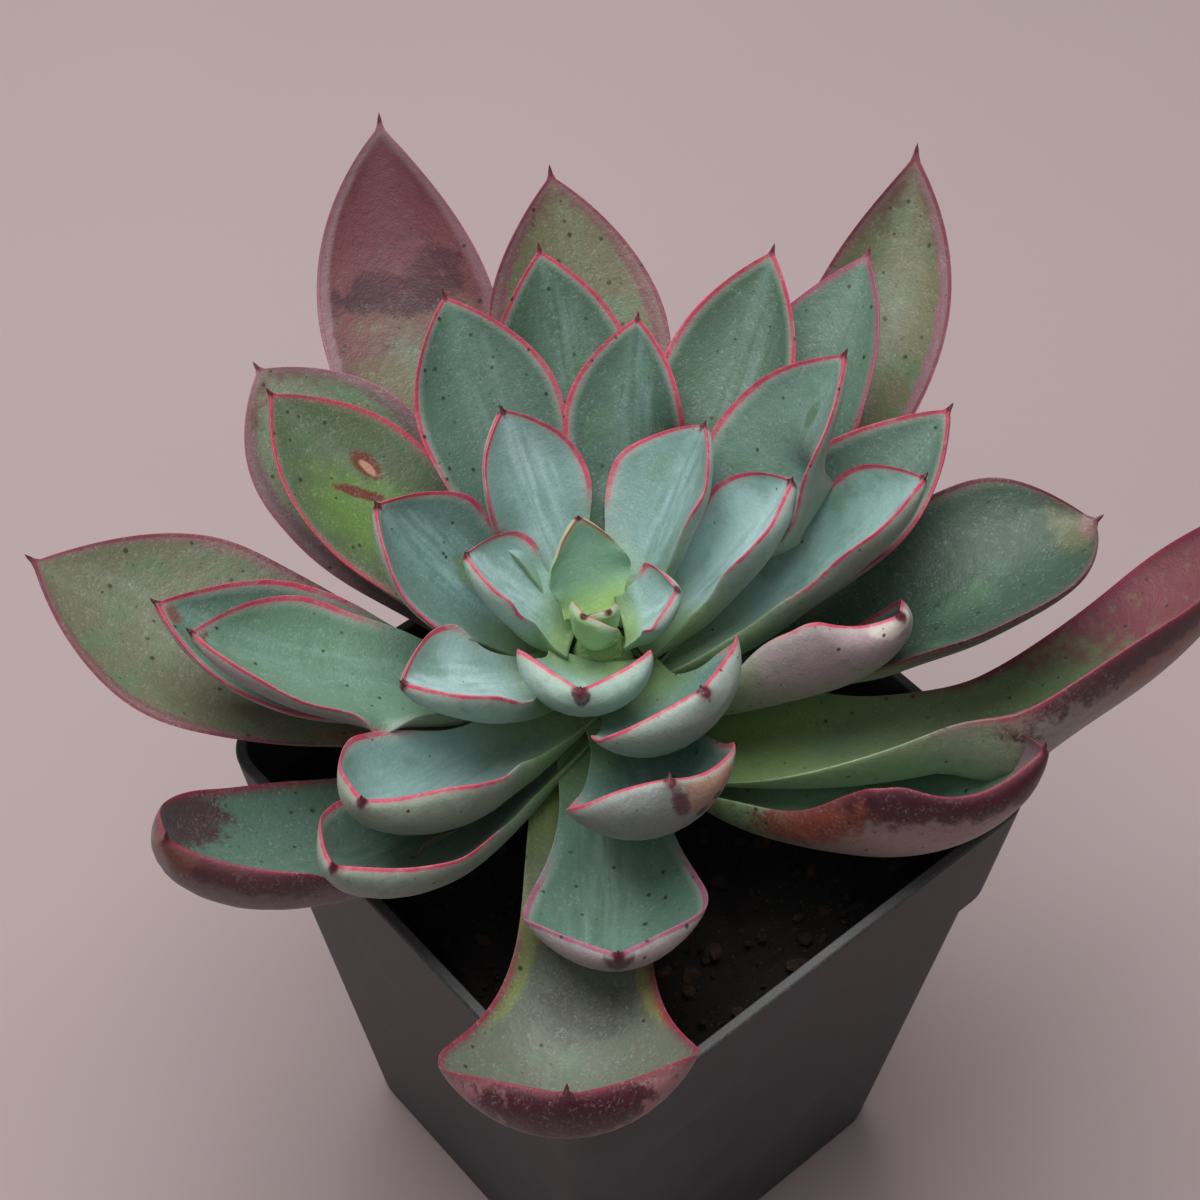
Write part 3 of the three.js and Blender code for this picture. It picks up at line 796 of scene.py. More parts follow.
INNER_LEAVES = (
    Leaf(LeafForm(64, 26, 17, 17.5, 4, (25, 36, 44), (43, 58, 44), roll=-26, bend=-8),
         replace(INNER, upper=srgb(100, 132, 126), channel_highlight=srgb(152, 180, 186))),
    Leaf(LeafForm(120, 28, 15, 17, 4, (28, 50, 62), (42, 57, 37), roll=8), INNER),
    Leaf(LeafForm(-58, 24.5, 23, 15.5, 4, (5, 42, 112), (30, 52, 48), roll=5, bend=8, **SPOON), ROSY_BACK,
         (Blotch(0.72, 0.12, (1.2, 2.4), srgb(112, 128, 84), Side.LOWER, amount=0.7),
          Blotch(0.66, -0.45, (0.9, 2.6), srgb(112, 128, 84), Side.LOWER, amount=0.6))),
    Leaf(LeafForm(-146, 25, 17.5, 16, 4, (5, 33, 48), (42, 72, 58), roll=9, bend=-12, widest=0.6, flare=1.5),
         replace(INNER, upper=srgb(134, 163, 160))),
    Leaf(LeafForm(32, 27.5, 17, 15.5, 4.6, (15, 36, 69), (48, 63, 53), roll=-26, bend=2, flare=1.2, **SPOON),
         replace(INNER, upper=srgb(134, 166, 164))),
    Leaf(LeafForm(84, 38, 15, 15, 4.6, (25, 42, 50), (35, 35, 30), roll=-10, bend=-4), SHADED_BACK),
    Leaf(LeafForm(-70, 31.5, 22, 13, 4.6, (-8, 24, 128), (35, 50, 50), roll=16, bend=-22, widest=0.7,
                  **SPOON), replace(ROSY_BACK, under=srgb(112, 116, 114)),
         (Blotch(0.84, 0.62, (3.2, 3.6), srgb(134, 98, 78), Side.LOWER, ragged=0.5, amount=0.85),
          Blotch(0.9, 0.12, (1.6, 0.8), srgb(70, 26, 40), Side.LOWER, ragged=0.6),
          Blotch(0.8, 0.3, (0.8, 0.7), DARK, Side.LOWER), Blotch(0.8, 0.52, (0.9, 0.5), DARK, Side.LOWER))),
    Leaf(LeafForm(162, 30, 18.5, 14.5, 4.6, (18, 43, 64), (40, 55, 40), roll=-6), GLAUCOUS,
         (Blotch(0.5, -0.3, (2.2, 1.5), srgb(86, 112, 62), amount=0.6),)),
    Leaf(LeafForm(-132, 39.5, 23, 13, 4.6, (-8, 18, 84), (45, 72, 66), roll=18, widest=0.62, flare=1.8,
                  **SPOON),
         replace(GLAUCOUS, upper=srgb(108, 136, 132))),
)
MIDDLE_LEAVES = (
    Leaf(LeafForm(19, 41, 18, 12.5, 5, (8, 32, 56), (52, 63, 53), roll=-22, bend=3, widest=0.7, flare=1.3,
                  **SPOON),
         replace(GLAUCOUS, upper=srgb(122, 154, 148))),
    Leaf(LeafForm(43, 44, 19.5, 12.5, 5, (18, 44, 53), (43, 54, 44), roll=-20),
         replace(MIDDLE, upper=srgb(92, 120, 110)),
         (Blotch(0.8, -0.1, (1.6, 0.9), srgb(62, 88, 58), amount=0.6),)),
    Leaf(LeafForm(117, 46, 19.2, 12, 5, (20, 39, 53), (35, 45, 30)), MIDDLE),
    Leaf(LeafForm(-169, 46, 19.5, 12, 5, (2, 23, 54), (40, 55, 50), roll=6, bend=-6),
         replace(MIDDLE_ROSY, upper=srgb(88, 120, 100)),
         (Blotch(0.97, 0.0, (1.6, 1.4), srgb(96, 62, 52), Side.BOTH, ragged=0.8),)),
    # These two back leaves' darker upper faces are partly painted shade, as for SHADED_BACK
    Leaf(LeafForm(65, 53, 17.6, 11, 5, (20, 33, 51), (35, 45, 30)),
         replace(MIDDLE, upper=srgb(62, 88, 70))),
    Leaf(LeafForm(97, 50, 19, 11, 5, (20, 37, 50), (35, 43, 26), roll=10, bend=8),
         replace(MIDDLE, upper=srgb(63, 89, 72), blush_start=0.98)),
    Leaf(LeafForm(-129, 45, 22, 10, 5, (-12, 12, 82), (42, 62, 62), roll=14, bend=-4, widest=0.62,
                  flare=1.8, **SPOON), MIDDLE),
    Leaf(LeafForm(-4, 35, 21, 11, 5, (0, 13, 100), (40, 62, 66), roll=-58, bend=18, lift=1.7, **SPOON),
         replace(MIDDLE_ROSY, under=srgb(150, 130, 136)),
         (Blotch(0.96, -0.5, (1.8, 2.0), srgb(196, 186, 176), Side.BOTH),)),
    Leaf(LeafForm(-85, 37.5, 22.5, 10.5, 5.2, (-14, -6, 84), (26, 42, 52), roll=6, bend=-8, neck=0.55,
                  widest=0.75, flare=2.2, blunt=3.2, lift=1.7),
         replace(MIDDLE_ROSY, upper=srgb(80, 110, 96), channel_highlight=srgb(146, 172, 170), margin=srgb(142, 74, 104),
                 margin_width=1.4),
         (Blotch(0.97, 0.0, (2.0, 1.4), srgb(70, 40, 48), Side.BOTH, ragged=0.7),)),
)
OUTER_LEAVES = (
    Leaf(LeafForm(32, 50, 18, 9.5, 5.2, (6, 24, 48), (40, 50, 40), roll=4, bend=5), MIDDLE),
    Leaf(LeafForm(52, 60.5, 19, 8.5, 5.4, (12, 28, 42), (36, 49, 39), roll=-9, bend=12),
         replace(LOW, upper=srgb(76, 104, 88), margin=srgb(150, 70, 98))),
    Leaf(LeafForm(145, 49, 20, 10, 5.4, (8, 29, 48), (30, 35, 30)),
         replace(LOW, upper=srgb(74, 88, 62), margin=srgb(172, 52, 76), blush_start=1.1),
         (Blotch(0.6, 0.1, (8.0, 5.0), BRIGHT_GREEN, ragged=0.6, soft=0.5, amount=0.7, turn=20),
          Blotch(0.66, -0.02, (3.4, 0.7), SCAR, ragged=0.5, amount=1.0, turn=35),
          Blotch(0.7, -0.34, (2.2, 1.3), SCAR, ragged=0.5, amount=1.0),
          Blotch(0.69, -0.33, (1.2, 0.5), srgb(166, 122, 104), ragged=0.5),
          Blotch(0.4, -0.3, (1.8, 1.2), BRIGHT_GREEN, ragged=0.4))),
    Leaf(LeafForm(180, 49.5, 19, 9, 5.4, (-2, 16, 48), (35, 50, 45), roll=-6, bend=-8), MIDDLE_ROSY,
         (Blotch(0.96, 0.1, (2.4, 1.6), srgb(104, 66, 58), Side.BOTH, ragged=0.9),)),
    Leaf(LeafForm(11, 59, 27, 8, 5.4, (-4, 16, 22), (38, 54, 50), roll=-10, bend=17, neck=0.42,
                  widest=0.68, flare=2.6, blunt=4.4),
         replace(LOW, upper=srgb(46, 70, 54), channel_highlight=srgb(78, 98, 92), margin=srgb(96, 30, 44),
                 margin_width=1.0),
         (Blotch(0.985, 0.0, (1.9, 9.0), srgb(74, 34, 42), Side.BOTH, ragged=0.6),
          Blotch(0.93, 0.0, (2.2, 4.0), srgb(98, 94, 60), ragged=0.7, soft=0.6, amount=0.6),
          Blotch(0.955, -0.25, (1.3, 2.0), srgb(120, 86, 88), ragged=0.9, amount=0.6),
          Blotch(0.74, -0.98, (17.0, 1.5), srgb(96, 36, 42), Side.BOTH, ragged=0.5))),
    Leaf(LeafForm(-143, 60, 28, 6.4, 5.6, (-12, 8, 100), (35, 60, 58), roll=24, bend=-14, **SPOON), DUSKY,
         (Blotch(0.74, 0.4, (9.0, 1.6), srgb(128, 112, 82), ragged=0.5, amount=0.85),
          Blotch(0.73, 0.16, (10.0, 1.1), srgb(46, 24, 42), ragged=0.5, turn=-5),
          Blotch(0.78, -0.75, (7.0, 3.6), srgb(62, 28, 44), ragged=0.7, amount=0.85),
          Blotch(0.84, 0.95, (11.0, 3.4), srgb(66, 24, 30), Side.LOWER, ragged=0.6),
          Blotch(0.95, 0.1, (2.4, 3.0), srgb(96, 56, 44), Side.LOWER, ragged=0.7))),
    Leaf(LeafForm(138, 56, 22.5, 6.5, 5.6, (4, 22, 38), (30, 30, 25), roll=-14, **SPOON),
         replace(PURPLE, upper=srgb(98, 104, 82), blush_start=0.9),
         (edge_band(0.62, 0.95, 19.0, 2.0, srgb(102, 68, 82), 0.85),
          edge_band(0.62, -0.95, 19.0, 1.6, srgb(96, 66, 76), 0.8))),
    Leaf(LeafForm(-93, 62, 30.5, 7.6, 5.8, (-11, -6, 116), (24, 38, 56), roll=6, bend=-2, neck=0.5,
                  widest=0.77, flare=4.2, blunt=3.4, lift=1.7),
         replace(DUSKY, upper=srgb(90, 94, 82), root=srgb(88, 112, 52), under=srgb(132, 84, 90),
                 blush_start=1.1),
         (Blotch(0.92, -0.12, (5.0, 8.0), MAROON, Side.LOWER, ragged=0.8, amount=1.0),
          Blotch(0.93, 0.5, (4.0, 3.0), MAROON, Side.LOWER, ragged=1.0, turn=30, amount=1.0),
          Blotch(0.97, 0.0, (1.8, 14.0), MAROON, Side.LOWER, ragged=0.6, amount=0.9),
          Blotch(0.93, 0.8, (4.0, 0.8), MAROON, Side.LOWER, ragged=0.9, turn=24),
          Blotch(0.55, 0.05, (3.4, 5.0), srgb(44, 44, 30), ragged=0.8, soft=0.6, amount=0.6),
          Blotch(0.57, 0.97, (2.6, 1.0), srgb(150, 72, 42), Side.BOTH, ragged=0.6),
          Blotch(0.45, 0.9, (9.0, 1.6), srgb(126, 124, 58), Side.BOTH, amount=0.6),
          Blotch(0.45, -0.9, (9.0, 1.6), srgb(112, 124, 58), Side.BOTH, amount=0.6),
          Blotch(0.81, 0.1, (0.3, 2.6), srgb(52, 56, 50), ragged=0.3, turn=14),
          Blotch(0.8, 0.62, (0.3, 1.8), srgb(52, 56, 50), ragged=0.3, turn=-20))),
    Leaf(LeafForm(-35, 56, 31, 5.5, 5.8, (-14, 3, 84), (36, 68, 58), roll=-46, bend=64, neck=0.3,
                  widest=0.56, flare=4.5, lift=1.2, **SPOON),
         replace(DUSKY, upper=srgb(104, 138, 112), under=srgb(142, 110, 112), blush=srgb(84, 26, 42)),
         (Blotch(0.68, -1.0, (21.0, 5.4), MAROON, Side.BOTH, ragged=0.5, amount=1.0),
          Blotch(0.42, -0.75, (5.4, 3.6), srgb(130, 64, 48), Side.LOWER, ragged=0.9, soft=0.6, amount=0.8),
          Blotch(0.93, -0.4, (4.0, 3.4), MAROON, Side.BOTH, ragged=0.6),
          Blotch(0.9, 0.45, (4.0, 2.6), srgb(118, 66, 92), ragged=0.9, amount=0.7))),
    Leaf(LeafForm(-13, 86, 27, 5.2, 5.8, (-8, 12, 50), (34, 56, 54), roll=-46, bend=76, neck=0.72,
                  flare=1.6, blunt=2.2),
         replace(DUSKY, upper=srgb(96, 118, 80), root=srgb(98, 124, 72), under=srgb(136, 126, 118),
                 blush=srgb(110, 50, 66), blush_start=0.66, under_blush=0.3),
         (Blotch(0.8, -1.0, (26.0, 4.8), MAROON, Side.LOWER, ragged=0.6),
          Blotch(0.72, -0.6, (9.0, 2.0), srgb(138, 92, 84), Side.LOWER, ragged=0.8, amount=0.7))),
    Leaf(LeafForm(47, 81, 20, 5, 5.8, (8, 21, 55), (35, 43, 39), bend=35), OLIVE,
         (edge_band(0.72, -0.96, 24.0, 1.7, srgb(126, 80, 98), 0.85),
          edge_band(0.8, 0.97, 16.0, 1.0, srgb(108, 62, 76), 0.7))),
    Leaf(LeafForm(92.5, 67, 24.5, 5, 5.8, (12, 27, 49), (30, 35, 25), roll=11, bend=10), OLIVE,
         (Blotch(0.6, -0.1, (10.0, 4.6), srgb(56, 72, 40), ragged=0.8, amount=0.7),
          edge_band(0.75, 0.95, 17.0, 1.8, srgb(112, 62, 78), 0.8),
          edge_band(0.72, -0.95, 19.0, 1.6, srgb(108, 52, 66), 0.8))),
    Leaf(LeafForm(122, 78, 23, 5, 5.8, (10, 28, 55), (25, 30, 25), roll=-7, bend=-28), PURPLE,
         (Blotch(0.71, 0.0, (2.4, 9.0), srgb(52, 18, 26), ragged=0.8, amount=0.8),
          Blotch(0.72, 0.35, (2.4, 3.6), srgb(56, 20, 28), ragged=0.75),
          Blotch(0.7, -0.1, (2.8, 3.6), srgb(58, 22, 30), ragged=0.75),
          Blotch(0.75, -0.5, (2.2, 3.0), srgb(62, 26, 34), ragged=0.75),
          Blotch(0.88, 0.0, (10.0, 7.0), srgb(84, 34, 46), ragged=0.8, soft=0.5, amount=0.7),
          Blotch(0.73, 0.97, (22.0, 1.3), srgb(138, 100, 116), Side.BOTH, ragged=0.4, amount=0.7),
          edge_band(0.66, -0.96, 20.0, 1.4, srgb(118, 70, 88), 0.7))),
    Leaf(LeafForm(174, 66, 27.5, 5, 5.8, (-6, 15, 42), (25, 30, 25), roll=-4, bend=-9),
         replace(OLIVE, upper=srgb(92, 94, 72), blush_start=0.96),
         (edge_band(0.76, 0.97, 20.0, 1.5, srgb(100, 50, 64), 0.85),
          edge_band(0.7, -0.97, 20.0, 1.0, srgb(106, 62, 68), 0.7),
          Blotch(0.3, 0.8, (7.0, 2.0), srgb(118, 84, 50), ragged=0.6, amount=0.7))),
)
BUD_LEAVES = (
    Leaf(LeafForm(-60, 5.5, 4.5, 20.5, 0.4, (80, 80, 80), (60, 60, 50), thickness=1.4, neck=0.8), BUD),
    Leaf(LeafForm(-130, 7, 7.5, 20, 0.8, (50, 75, 90), (60, 60, 40), thickness=1.6, neck=0.7), BUD),
)


class Rosette:
    """The whorls of leaves round the stem, from the heart outwards."""

    whorls = {
        "heart": HEART_LEAVES,
        "inner": INNER_LEAVES,
        "middle": MIDDLE_LEAVES,
        "outer": OUTER_LEAVES,
    }

    def build(self, within: tuple[Vector, Vector]) -> None:
        """Make every leaf.

        Args:
            within: lowest and highest corner that the leaves keep to.
        """
        inner = ([], [])
        for whorl, leaves in self.whorls.items():
            for index, leaf in enumerate(leaves, 1):
                node = f"{whorl}_leaf_{index}"
                leaf.build(f"{node}_skin", node, f"{whorl}_leaf", index + 10 * len(whorl), within, inner)
            LOG.info("%s leaves: %d", whorl, len(leaves))


@dataclass(frozen=True)
class Stem:
    """The short stem with its leaf scars, and the two folded bud leaves at its tip.

    Args:
        profile: height over the rim plane and radius, in millimetres.
        sides: points round a ring.
        rings: rings along the stem.
        scar_rise: how far the leaf scars stand out.
        fresh_from: height from which the bark is fresh and green.
    """

    profile: tuple[tuple[float, float], ...] = (
        (-24, 4.6), (-14, 5.2), (4, 5.2), (12, 4.6), (17, 3.4), (20, 2.2), (21.4, 1.2),
    )
    sides: int = 48
    rings: int = 60
    scar_rise: float = 0.28
    fresh_from: float = 9.0

    def build(self) -> None:
        """Make the stem and its bud leaves, standing for one CAD node."""
        heights = np.linspace(self.profile[0][0], self.profile[-1][0], self.rings)
        radii = np.interp(heights, *zip(*self.profile))
        angle = np.linspace(0, 2 * np.pi, self.sides, endpoint=False)
        scars = np.sin(3 * angle[None, :] + 1.1 * heights[:, None]) * np.sin(1.9 * heights[:, None])
        radius = radii[:, None] - self.scar_rise * (0.5 - 0.5 * scars)
        points = np.stack([radius * np.cos(angle), radius * np.sin(angle), heights[:, None] + 0 * radius], -1)
        faces = ring_faces(self.rings, self.sides)
        piece = make_piece("stem_skin", plant_to_row(points.reshape(-1, 3)), faces)
        carried = piece.data.attributes.new("height", "FLOAT", "POINT")
        carried.data.foreach_set("value", np.repeat(heights, self.sides).astype(np.float32))
        piece.data.materials.append(self.material())
        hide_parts("stem_with_bud")
        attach(piece, "root")
        for index, leaf in enumerate(BUD_LEAVES, 1):
            leaf.build(f"bud_leaf_{index}_skin", "stem_with_bud", "stem", 70 + index)
        LOG.info("stem: %d faces", len(faces))

    def material(self) -> bpy.types.Material:
        """Green-brown bark with pale scars, fresh green near the growing point."""
        g = Graph("stem_bark")
        spot = g.place()
        broad, fine = g.noise(spot, 0.3, 3.0), g.noise(spot, 2.0, 4.0)
        colour = g.mix(srgb(112, 128, 78), srgb(104, 88, 62), g.step(broad, 0.4, 0.65))
        colour = g.mix(colour, srgb(150, 140, 108), g.step(fine, 0.55, 0.75) * 0.5)
        fresh = g.step(g.attribute("height"), self.fresh_from, self.fresh_from + 4.0)
        colour = g.mix(colour, srgb(122, 156, 96), fresh * 0.9)
        normal = g.bump(fine + broad, 0.0004, 0.6)
        rough = 0.6 + fine * 0.3
        return g.finish({"Specular IOR Level": 0.3}, base_color=colour, roughness=rough, normal=normal)


@dataclass(frozen=True)
class Pot:
    """The square tapered pot with its flared rim band, in millimetres.

    Args:
        height: its height.
        rim: half of its width at the rim.
        rim_corner: corner radius at the rim.
        band_height: height of the flared band.
        band: half of the band's width at its foot.
        body: half of the body's width under the band.
        base: half of its width at the base.
        base_corner: corner radius at the base.
        wall: wall thickness.
        floor: floor thickness.
        lip: how far the lip is rounded.
        chamfer: rounding of the foot.
        drain: radius of a drain hole.
        drain_offset: distance of the holes from the middle.
        corner_steps: faces round a corner.
        side_steps: faces along a side.
        arc_steps: faces across a rounded edge.
    """

    height: float = POT_HEIGHT
    rim: float = 35.0
    rim_corner: float = 6.0
    band_height: float = 18.0
    band: float = 33.2
    body: float = 32.2
    base: float = 25.5
    base_corner: float = 5.0
    wall: float = 1.4
    floor: float = 1.8
    lip: float = 0.5
    chamfer: float = 1.2
    drain: float = 3.5
    drain_offset: float = 13.0
    corner_steps: int = 12
    side_steps: int = 10
    arc_steps: int = 5

    @property
    def band_foot(self) -> float:
        """Height of the band's foot."""
        return self.height - self.band_height

    def half(self, z: float) -> float:
        """Half of the outer width at a height."""
        if z > self.band_foot:
            return self.band + (self.rim - self.band) * (z - self.band_foot) / self.band_height
        return self.base + (self.body - self.base) * z / self.band_foot

    def corner(self, z: float) -> float:
        """Outer corner radius at a height."""
        return self.base_corner + (self.rim_corner - self.base_corner) * z / self.height

    def ring(self, half: float, corner: float, z: float) -> np.ndarray:
        """Points of a rounded square."""
        flat = half - corner
        quarter = [(half, -flat + 2 * flat * i / self.side_steps) for i in range(1, self.side_steps)]
        for i in range(self.corner_steps + 1):
            angle = math.pi / 2 * i / self.corner_steps
            quarter.append((flat + corner * math.cos(angle), flat + corner * math.sin(angle)))
        points = []
        for x, y in ((1, 0), (0, 1), (-1, 0), (0, -1)):
            points += [(a * x - b * y, a * y + b * x, z) for a, b in quarter]
        return np.array(points)

    def outside(self, z: float, inset: float = 0.0) -> np.ndarray:
        """A ring on the outer face, or a little inside it."""
        return self.ring(self.half(z) - inset, self.corner(z) - inset, z)

    def build(self) -> None:
        """Make the pot, with rounded foot and lip and with drain holes."""
        foot = self.band_foot
        arc = [math.pi / 2 * i / self.arc_steps for i in range(self.arc_steps + 1)]
        rings = [self.outside(self.chamfer * (1 - math.cos(a)), self.chamfer * (1 - math.sin(a)))
                 for a in arc]
        rings += [self.outside(foot * share) for share in (0.2, 0.4, 0.6, 0.8)]
        rings += [self.outside(foot - 0.6), self.ring(self.band, self.corner(foot), foot + 0.01)]
        rings += [self.outside(foot + 0.3 + (self.band_height - 1) * share)
                  for share in (0.0, 0.25, 0.5, 0.75)]
        top = self.height - self.lip
        rings += [self.outside(top + self.lip * math.sin(a), self.lip * (1 - math.cos(a))) for a in arc]
        inner_half, inner_corner = self.rim - self.wall, self.rim_corner - self.wall
        rings += [self.ring(inner_half + 0.15 * (1 - share), inner_corner, self.height - 0.15 * share)
                  for share in (0.0, 1.0)]
        for z in (foot + 12, foot + 6, foot + 0.6, foot - 0.6, foot * 0.5, self.floor + 0.8, self.floor):
            rings.append(self.ring(self.half(z) - self.wall, self.corner(z) - self.wall, z))
        count = len(rings[0])
        faces = ring_faces(len(rings), count)
        body = make_piece("pot_skin", np.vstack(rings) * MM, faces)
        self.drill(body)
        crisp_edges(body)
        body.data.materials.append(self.material())
        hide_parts("pot")
        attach(body, "root")
        LOG.info("pot: %d faces", len(body.data.polygons))

    def drill(self, body: bpy.types.Object) -> None:
        """Cut the drain holes."""
        sides, deep = 32, self.floor * 3
        angle = np.linspace(0, 2 * np.pi, sides, endpoint=False)
        for index, (x, y) in enumerate([(-1, -1), (-1, 1), (1, -1), (1, 1)]):
            rings = [np.stack([x * self.drain_offset + self.drain * np.cos(angle),
                               y * self.drain_offset + self.drain * np.sin(angle), z + 0 * angle], -1)
                     for z in (self.floor / 2 - deep / 2, self.floor / 2 + deep / 2)]
            drill = make_piece(f"drill_{index}", np.vstack(rings) * MM, ring_faces(2, sides))
            cut = body.modifiers.new("drain", "BOOLEAN")
            cut.operation, cut.solver, cut.object = "DIFFERENCE", "EXACT", drill
            bpy.context.view_layer.update()
            solved = body.evaluated_get(bpy.context.evaluated_depsgraph_get())
            cut_mesh = bpy.data.meshes.new_from_object(solved)
            body.modifiers.clear()
            body.data = cut_mesh
            bpy.data.objects.remove(drill)

    def material(self) -> bpy.types.Material:
        """Dark grey moulded plastic with scuffs, dust and water marks."""
        g = Graph("pot_plastic")
        spot = g.place()
        upright = g.place((1.0, 1.0, 0.12))
        broad, fine = g.noise(spot, 0.06, 4.0, 0.6), g.noise(spot, 4.0, 3.0, 0.6)
        runs = g.noise(upright, 0.4, 4.0, 0.6)
        scuffs = g.step(g.noise(g.place((0.3, 0.3, 2.4)), 0.9, 4.0, 0.7), 0.64, 0.72)
        height = g.out(g.node("ShaderNodeSeparateXYZ", None, {0: spot}), 2)
        colour = g.mix(srgb(38, 40, 42), srgb(54, 56, 58), g.step(broad, 0.35, 0.7))
        colour = g.mix(colour, srgb(92, 88, 82), g.step(runs, 0.62, 0.8) * 0.18)
        colour = g.mix(colour, srgb(104, 102, 98), scuffs * 0.16)
        dust = g.step(height, self.height - 4, self.height) * g.step(fine, 0.4, 0.7)
        colour = g.mix(colour, srgb(110, 104, 96), dust * 0.25)
        rough = 0.42 + broad * 0.22 + scuffs * 0.15
        normal = g.bump(fine, 0.00012, 0.4)
        normal = g.bump(broad, 0.001, 0.15, normal)
        return g.finish({"Specular IOR Level": 0.5}, base_color=colour, roughness=rough, normal=normal)


def crisp_edges(piece: bpy.types.Object, angle: float = 35.0) -> None:
    """Keep edges sharper than an angle crisp, and smooth the rest."""
    piece.data.polygons.foreach_set("use_smooth", [True] * len(piece.data.polygons))
    piece.data.set_sharp_from_angle(angle=math.radians(angle))


@dataclass(frozen=True)
class Soil:
    """Potting mix: a rough dark top with grit and bark on it.

    Args:
        depth: how far it lies below the rim, in millimetres.
        roughness: height of its lumps.
        gap: clearance to the pot's wall.
        hole: radius of the hole for the stem.
        keep_off: distance from the stem's axis that crumbs keep.
        steps: rings from the wall to the hole.
        crumbs: how many crumbs lie on it.
        chips: how many bark chips and stones lie on it.
        seed: of the random draw.
    """

    depth: float = 10.0
    roughness: float = 0.9
    gap: float = 0.35
    hole: float = 5.7
    keep_off: float = 6.5
    steps: int = 46
    crumbs: int = 900
    chips: int = 130
    seed: int = 11

    def lump(self, x, y):
        """Height of the surface's lumps."""
        waves = np.sin(0.55 * x + 1.3) * np.cos(0.47 * y - 0.6) + 0.6 * np.sin(0.9 * x - 0.8 * y + 2)
        fine = 0.35 * np.sin(2.3 * x + 0.7 * y) * np.cos(2.1 * y - 1.1 * x)
        fine = fine + 0.2 * np.sin(4.7 * x) * np.sin(5.1 * y)
        return self.roughness * (waves + fine)

    def build(self, pot: Pot) -> None:
        """Make the soil and what lies on it.

        Args:
            pot: the pot that it fills.
        """
        top = pot.height - self.depth
        half = pot.half(top) - pot.wall - self.gap
        corner = pot.corner(top) - pot.wall - self.gap
        edge = pot.ring(half, corner, top)
        angle = np.arctan2(edge[:, 1] - STEM_Y, edge[:, 0] - STEM_X)
        mouth = np.stack([STEM_X + self.hole * np.cos(angle), STEM_Y + self.hole * np.sin(angle),
                          top + 0 * angle], -1)
        low = pot.floor + self.gap
        rings = [pot.ring(pot.half(z) - pot.wall - self.gap, pot.corner(z) - pot.wall - self.gap, z)
                 for z in (low, top * 0.5, pot.band_foot - 0.9)]
        rings.append(edge)
        for i in range(1, self.steps):
            ring = edge + (mouth - edge) * i / self.steps
            ring[:, 2] += self.lump(ring[:, 0], ring[:, 1])
            rings.append(ring)
        rings += [mouth, mouth - (0, 0, 12)]
        body = make_piece("soil_skin", np.vstack(rings) * MM, ring_faces(len(rings), len(edge)))
        body.data.materials.append(self.material("soil_mix", srgb(30, 24, 20), srgb(16, 13, 12)))
        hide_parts("soil")
        self.scatter("soil_crumbs", self.crumbs, (0.25, 0.9), half, top,
                     self.material("soil_crumb", srgb(46, 36, 29), srgb(18, 14, 12)))
        self.scatter("soil_chips", self.chips, (0.8, 2.1), half, top,
                     self.material("soil_chip", srgb(70, 50, 38), srgb(28, 21, 17)))
        for name in ("soil_skin", "soil_crumbs", "soil_chips"):
            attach(bpy.data.objects[name], "root")
        LOG.info("soil: %d crumbs, %d chips", self.crumbs, self.chips)

    def scatter(
        self,
        name: str,
        count: int,
        sizes: tuple[float, float],
        half: float,
        top: float,
        look: bpy.types.Material,
    ) -> None:
        """Lay small rough lumps on the surface, sunk halfway in.

        Args:
            name: the piece's name.
            count: how many there are.
            sizes: least and greatest radius.
            half: half of the surface's width.
            top: the surface's height.
            look: their material.
        """
        draw = random.Random(self.seed + count)
        points, faces = [], []
        while count > 0:
            size = draw.uniform(*sizes) * draw.uniform(0.6, 1.0)
            x, y = draw.uniform(-half + size, half - size), draw.uniform(-half + size, half - size)
            if math.hypot(x - STEM_X, y - STEM_Y) < self.keep_off + size:
                continue
            if max(abs(x), abs(y)) > half - size * 1.3:
                continue
            z = top + self.lump(x, y) + size * 0.15
            start = len(points)
            stretch = (draw.uniform(0.7, 1.5), draw.uniform(0.6, 1.0), draw.uniform(0.35, 0.8))
            turn = draw.uniform(0, 2 * math.pi)
            tilt = draw.uniform(-0.7, 0.7)
            for a, b, c in lump_points(draw):
                a, b, c = a * stretch[0], b * stretch[1], c * stretch[2]
                a, c = a * math.cos(tilt) - c * math.sin(tilt), a * math.sin(tilt) + c * math.cos(tilt)
                a, b = a * math.cos(turn) - b * math.sin(turn), a * math.sin(turn) + b * math.cos(turn)
                points.append(((x + a * size) * MM, (y + b * size) * MM, (z + c * size) * MM))
            faces += [tuple(start + i for i in face) for face in LUMP_FACES]
            count -= 1
        piece = make_piece(name, points, faces, smooth=False)
        piece.data.materials.append(look)

    @staticmethod
    def material(name: str, light: Colour, dark: Colour) -> bpy.types.Material:
        """Dark, damp, crumbly organic mix."""
        g = Graph(name)
        spot = g.place()
        broad, fine = g.noise(spot, 0.4, 4.0, 0.6), g.noise(spot, 3.0, 5.0, 0.7)
        colour = g.mix(dark, light, g.step(broad * 0.6 + fine * 0.5, 0.42, 0.72))
        colour = g.mix(colour, srgb(96, 82, 66), g.step(g.cells(spot, 0.9), 0.16, 0.08) * 0.5)
        normal = g.bump(fine + broad, 0.0012, 0.9)
        rough = 0.75 + fine * 0.25
        return g.finish({"Specular IOR Level": 0.3}, base_color=colour, roughness=rough, normal=normal)


